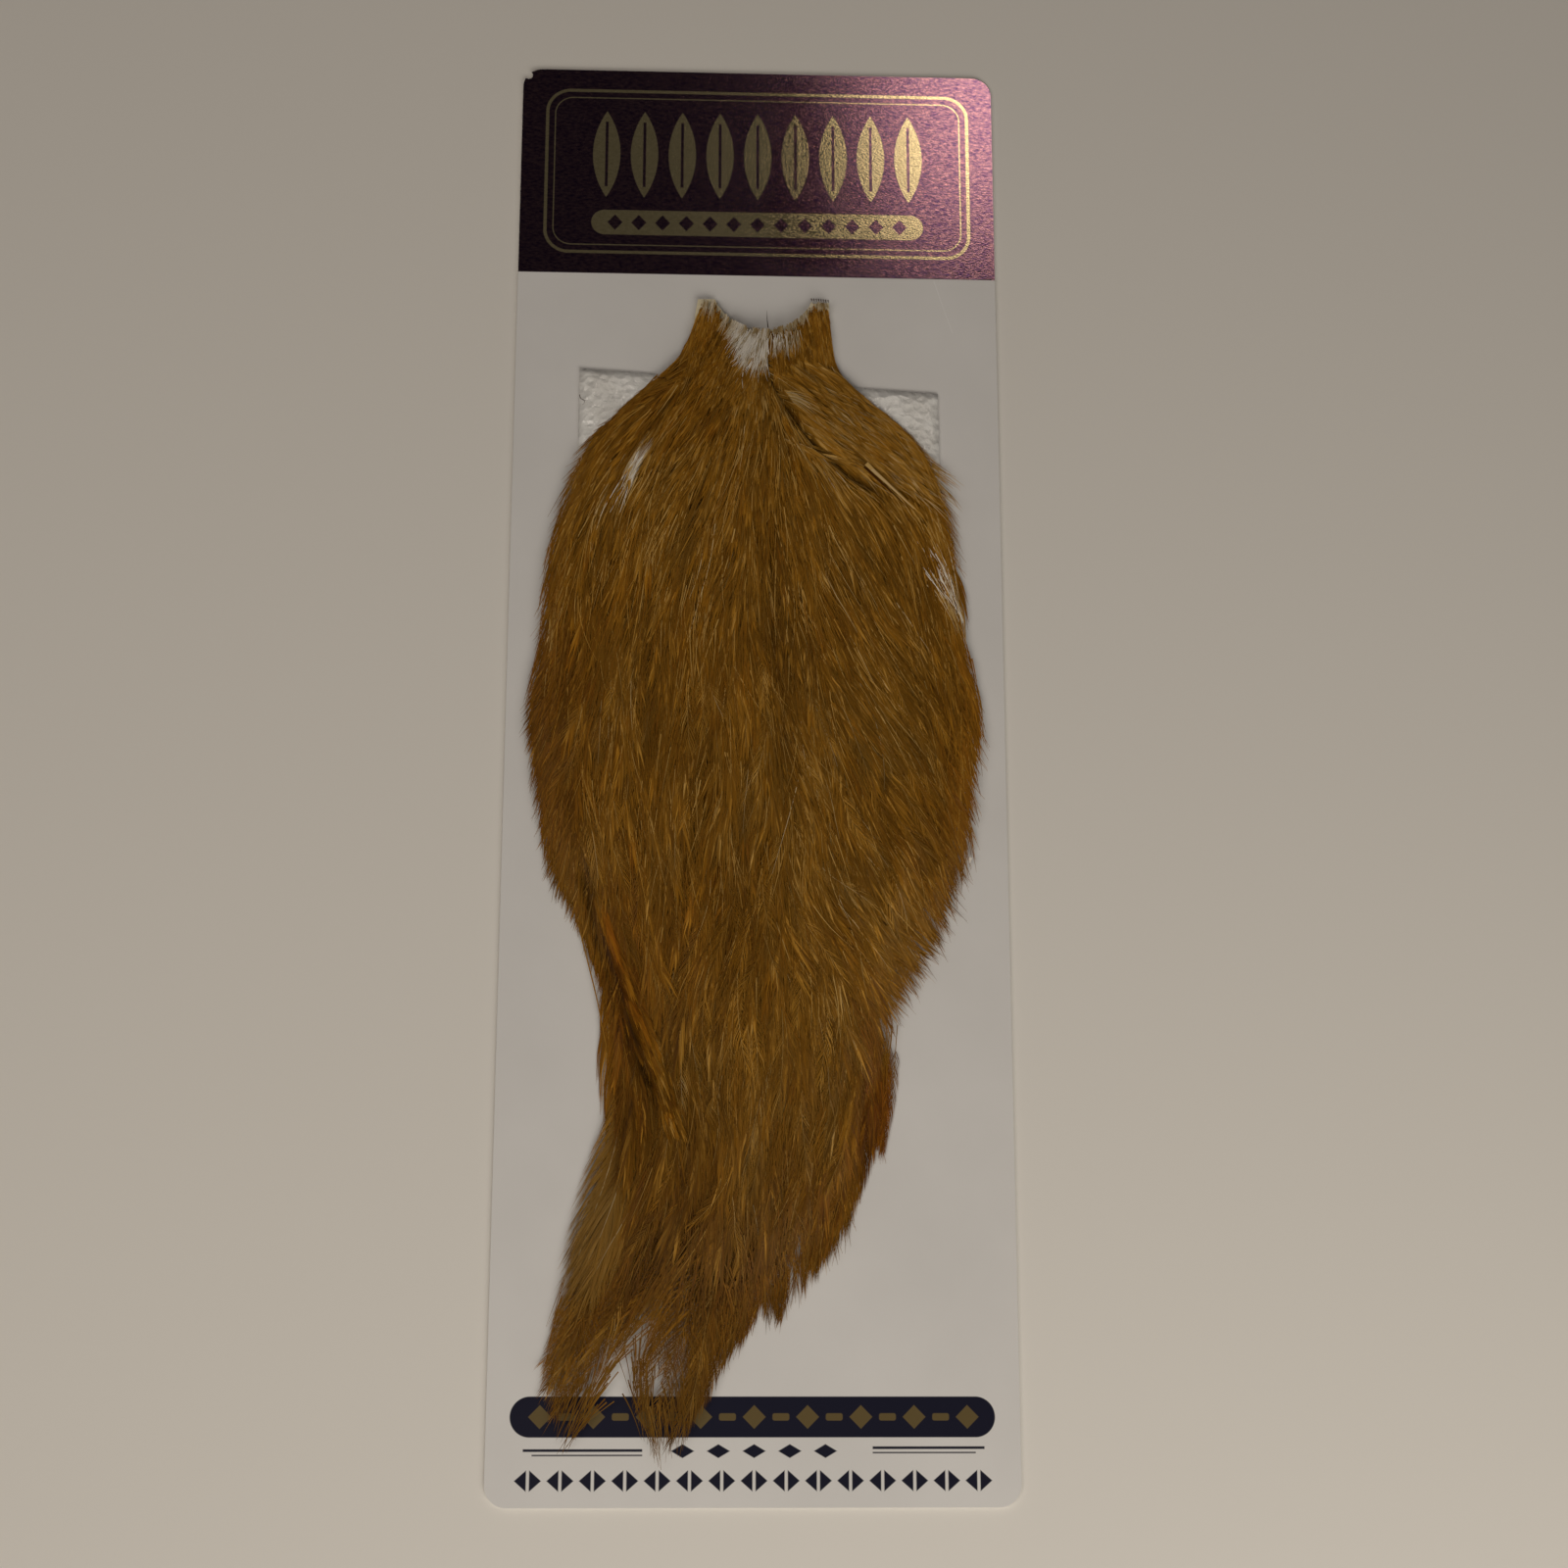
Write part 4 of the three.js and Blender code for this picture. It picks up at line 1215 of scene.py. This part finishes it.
def add_strays(material):
    """Long fine barbs combed over the feathers, with pale ones among them."""
    many = 13500
    roots = np.column_stack([rng.uniform(-58, 58, many), rng.uniform(-134, 100, many)])
    roots = roots[polygon_has(OUTLINE, roots)]
    roots = roots[(inset_of(roots) > 3) & (roots[:, 1] < rim_y(roots[:, 0]) - 4)]
    roots = roots[~polygon_has(np.array(SAIL_AREA), roots)]
    many = len(roots)
    x, y = roots[:, 0], roots[:, 1]
    across = 50 * bed_frame(x, y)[3]
    lock = smooth_noise(across, 0.22 * y, 2.6, 81)
    calm = np.interp(y, [-90, -60, 0, 60], [0.25, 0.65, 0.75, 1.0])
    pale = rng.random(many) < calm * (0.10 + 0.34 * np.clip(2.6 * lock - 1.2, 0, 1))
    loose = np.interp(y, [-60, 60], [0.15, 0.07])
    angle = group_turn(x, y) + rng.normal(0, 1, many) * loose
    bend = rng.normal(0, 0.16, many)
    length = np.interp(y, [-130, -60, 50, 95], [11, 13, 17, 8]) * rng.uniform(0.5, 1.3, many)
    heading = flow_angle(roots) + angle
    ends = roots + (length + 1.5)[:, None] * np.column_stack([np.sin(heading), -np.cos(heading)])
    length = np.where(polygon_has(OUTLINE, ends) | (y > 60), length, 0.45 * length)
    width = rng.uniform(0.16, 0.34, many) * np.interp(y, [-60, 40], [0.8, 1.0])
    hue = np.where(pale, 0.65, 0.43) + rng.normal(0, 0.05, many)
    bright = np.where(pale, 0.72 + 0.28 * calm, 0.34 + 0.40 * lock) * rng.uniform(0.8, 1.2, many)
    hue, bright = shade(roots, hue, bright)
    lift = rng.uniform(0.05, 0.40, many)
    hair_piece("loose_strands", roots, angle, bend, length, width, hue, bright, lift, material, 5, True)


FLAP = [(15, 75), (23, 65.5), (41, 60), (47, 63.5), (44, 70), (37, 77.5), (29, 84), (21, 91), (13, 91), (8.5, 85)]
LOCK_TIPS = [(-33.0, -52), (-18.5, -95)]


def points_in(outline, gap):
    outline = np.array(outline, float)
    low, high = outline.min(0), outline.max(0)
    x, y = np.meshgrid(np.arange(low[0], high[0], gap), np.arange(low[1], high[1], gap))
    points = np.column_stack([x.ravel(), y.ravel()])
    points += rng.normal(0, 0.3 * gap, points.shape)
    return points[polygon_has(outline, points)]


def add_flap(material):
    """The turned flap of feathers on the right shoulder, over the crease."""
    tips = points_in(FLAP, 2.3)
    bearing = np.radians(47) + rng.normal(0, 0.05, len(tips))
    plumes = plumes_at(tips, 0.0, 0.3, 1.0, bearing, 0.50, 0.76, 1.5, 0.75)
    feather_piece("feathers_flap", plumes, 0.30, 0.28, 0.25, material)


def add_lock(material):
    """The smooth golden lock on the left."""
    share = rng.random(60)
    first, last = np.array(LOCK_TIPS, float)
    tips = first + (last - first) * share[:, None] + rng.normal(0, 0.9, (60, 2))
    bearing = np.radians(15) + rng.normal(0, 0.02, len(tips))
    length = rng.uniform(26, 36, len(tips))
    many = len(tips)
    plumes = Plumes(tips, length, rng.uniform(0.9, 1.6, many), 0.40 + rng.normal(0, 0.05, many),
                    rng.uniform(0.60, 1.15, many), 0.0, np.full(many, 0.16), rng.normal(1.0, 0.25, many), bearing,
                    spread=0.7)
    feather_piece("feathers_lock", plumes, 0.60, 0.36, 0.10, material)


def add_down():
    """The dense down at the feathers' roots, which closes the view between them."""
    rows = np.arange(108, -124, -4.0)
    columns = np.linspace(-1, 1, 21)
    left, right = [np.interp(rows, bed_y, side) for side in (bed_left, bed_right)]
    inset = np.interp(rows, [-124, -60, 60, 100, 108], [5.0, 5.0, 5.0, 2.0, 1.5])
    left, right = left + inset + np.interp(rows, [-124, -100, -84], [9, 6, 0]), right - inset
    middle, half = (left + right) / 2, (right - left) / 2
    x = middle[:, None] + half[:, None] * columns[None]
    y = np.repeat(rows[:, None], len(columns), 1)
    y = np.minimum(y, rim_y(x) - 1.2)
    top = bed_height(x, y)
    floor = np.where(y > 92, 1.3, 3.1)
    z = np.maximum(top - 2.6, floor + 0.2)
    upper = np.stack([x, y, z], 2).reshape(-1, 3)
    lower = np.stack([x, y, floor], 2).reshape(-1, 3)
    wide, high = len(columns), len(rows)
    faces = []
    for row in range(high - 1):
        for column in range(wide - 1):
            a = row * wide + column
            faces.append((a, a + wide, a + wide + 1, a + 1))
    count = wide * high
    faces += [tuple(count + corner for corner in reversed(face)) for face in faces]
    border = list(range(wide)) + [row * wide + wide - 1 for row in range(1, high)]
    border += list(range(count - 2, count - wide - 1, -1)) + [row * wide for row in range(high - 2, 0, -1)]
    for a, b in zip(border, border[1:] + border[:1]):
        faces.append((a, b, count + b, count + a))
    piece = make_object("down", np.concatenate([upper, lower]) * MM, faces, down_material())
    attach(piece, "cape")


def down_material():
    material, tree, shader = new_material("down")
    x, y, z, place = place_fields(tree)
    streak = noise(tree, place, 0.5, 5.0, ((0, 0, 0), (1.0, 0.12, 1.0))).between(0.3, 0.7)
    colour = mix(tree, streak, (0.22, 0.088, 0.007), (0.33, 0.140, 0.013))
    tree.links.new(colour, shader.inputs["Base Color"])
    shader.inputs["Roughness"].default_value = 0.9
    add_bump(tree, shader, streak, 0.6, 0.8)
    return material


def add_skin():
    """The tanned skin at the neck, with the cut edge of the notch."""
    start, end = math.radians(203), math.radians(337)
    arc = [(NOTCH["x"] + (NOTCH["radius"] + 0.1) * math.cos(a), NOTCH["y"] + (NOTCH["radius"] + 0.1) * math.sin(a))
           for a in np.linspace(start, end, 41)]
    outline = [(-20, 92), (-18.2, 95), (-16.6, 102.8), (-14.9, 113.3), (-11.0, 113.5)] + arc
    outline += [(13.8, 112.8), (17.9, 113.0), (18.0, 104.5), (16.8, 97), (17.2, 92)]
    outline = np.array(outline)
    wobble = 0.25 * (smooth_noise(outline[:, 0], outline[:, 1], 1.7, 5) - 0.5)
    outline[:, 1] += wobble
    low, high = CARD_TOP + 0.3, CARD_TOP + 1.3
    many = len(outline)
    centre = np.array([[1.0, 98.0]])
    verts = [(x, y, high) for x, y in outline] + [(x, y, low) for x, y in outline]
    faces = [tuple(range(many))[::-1], tuple(range(many, 2 * many))]
    for a in range(many):
        b = (a + 1) % many
        faces.append((a, b, many + b, many + a))
    piece = make_object("neck_skin", np.array(verts) * MM, faces, skin_material())
    attach(piece, "cape")


def add_padding():
    """A crumpled sheet of thin milky padding in the place of its plain solid."""
    step = 1.5
    xs = np.arange(pad_low.x, pad_high.x + step / 2, step)
    ys = np.arange(pad_low.y, pad_high.y + step / 2, step)
    u, v = np.meshgrid((xs - xs[0]) / (xs[-1] - xs[0]), (ys - ys[0]) / (ys[-1] - ys[0]))
    slope = 5.2
    x = xs[0] + u * (xs[-1] - xs[0]) - v * u * 1.0
    y = ys[0] + v * (ys[-1] - ys[0] - slope * u)
    crumple = sum(weight * np.abs(2 * smooth_noise(x, y, period, seed) - 1)
                  for period, weight, seed in ((9.0, 0.5, 21), (4.5, 0.35, 22), (2.3, 0.25, 23)))
    edge = np.minimum(np.minimum(u, 1 - u) * 90, np.minimum(v, 1 - v) * 120)
    middle = pad_low.z + 0.75
    swell = np.clip(edge / 3.0, 0, 1) ** 0.6
    top = middle - 0.45 + swell * (0.75 + 0.6 * crumple)
    bottom = np.full_like(top, pad_low.z)
    wide, high = len(xs), len(ys)
    count = wide * high
    verts = np.concatenate([np.stack([x, y, top], 2).reshape(-1, 3), np.stack([x, y, bottom], 2).reshape(-1, 3)])
    faces = []
    for row in range(high - 1):
        for column in range(wide - 1):
            a = row * wide + column
            faces.append((a, a + 1, a + wide + 1, a + wide))
            faces.append((count + a, count + a + wide, count + a + wide + 1, count + a + 1))
    border = list(range(wide)) + [row * wide + wide - 1 for row in range(1, high)]
    border += list(range(count - 2, count - wide - 1, -1)) + [row * wide for row in range(high - 2, 0, -1)]
    for a, b in zip(border, border[1:] + border[:1]):
        faces.append((b, a, count + a, count + b))
    piece = make_object("padding_film", verts * MM, faces, padding_material())
    for polygon in piece.data.polygons:
        polygon.use_smooth = True
    attach(piece, "padding_sheet")


def dress_card():
    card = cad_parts["backing_card"]
    card.data.materials.clear()
    card.data.materials.append(card_material())


add_camera()
add_studio()
add_floor()
dress_card()
add_padding()
add_skin()
add_down()
plumage = plumage_material()
add_feathers(plumage)
add_neck(plumage)
add_flap(plumage)
add_lock(plumage)
add_tail(plumage)
add_fringe(plumage)
add_sweeps(plumage)
add_rim_streaks(plumage)
add_golden(plumage)
add_accents(plumage)
add_strays(plumage)
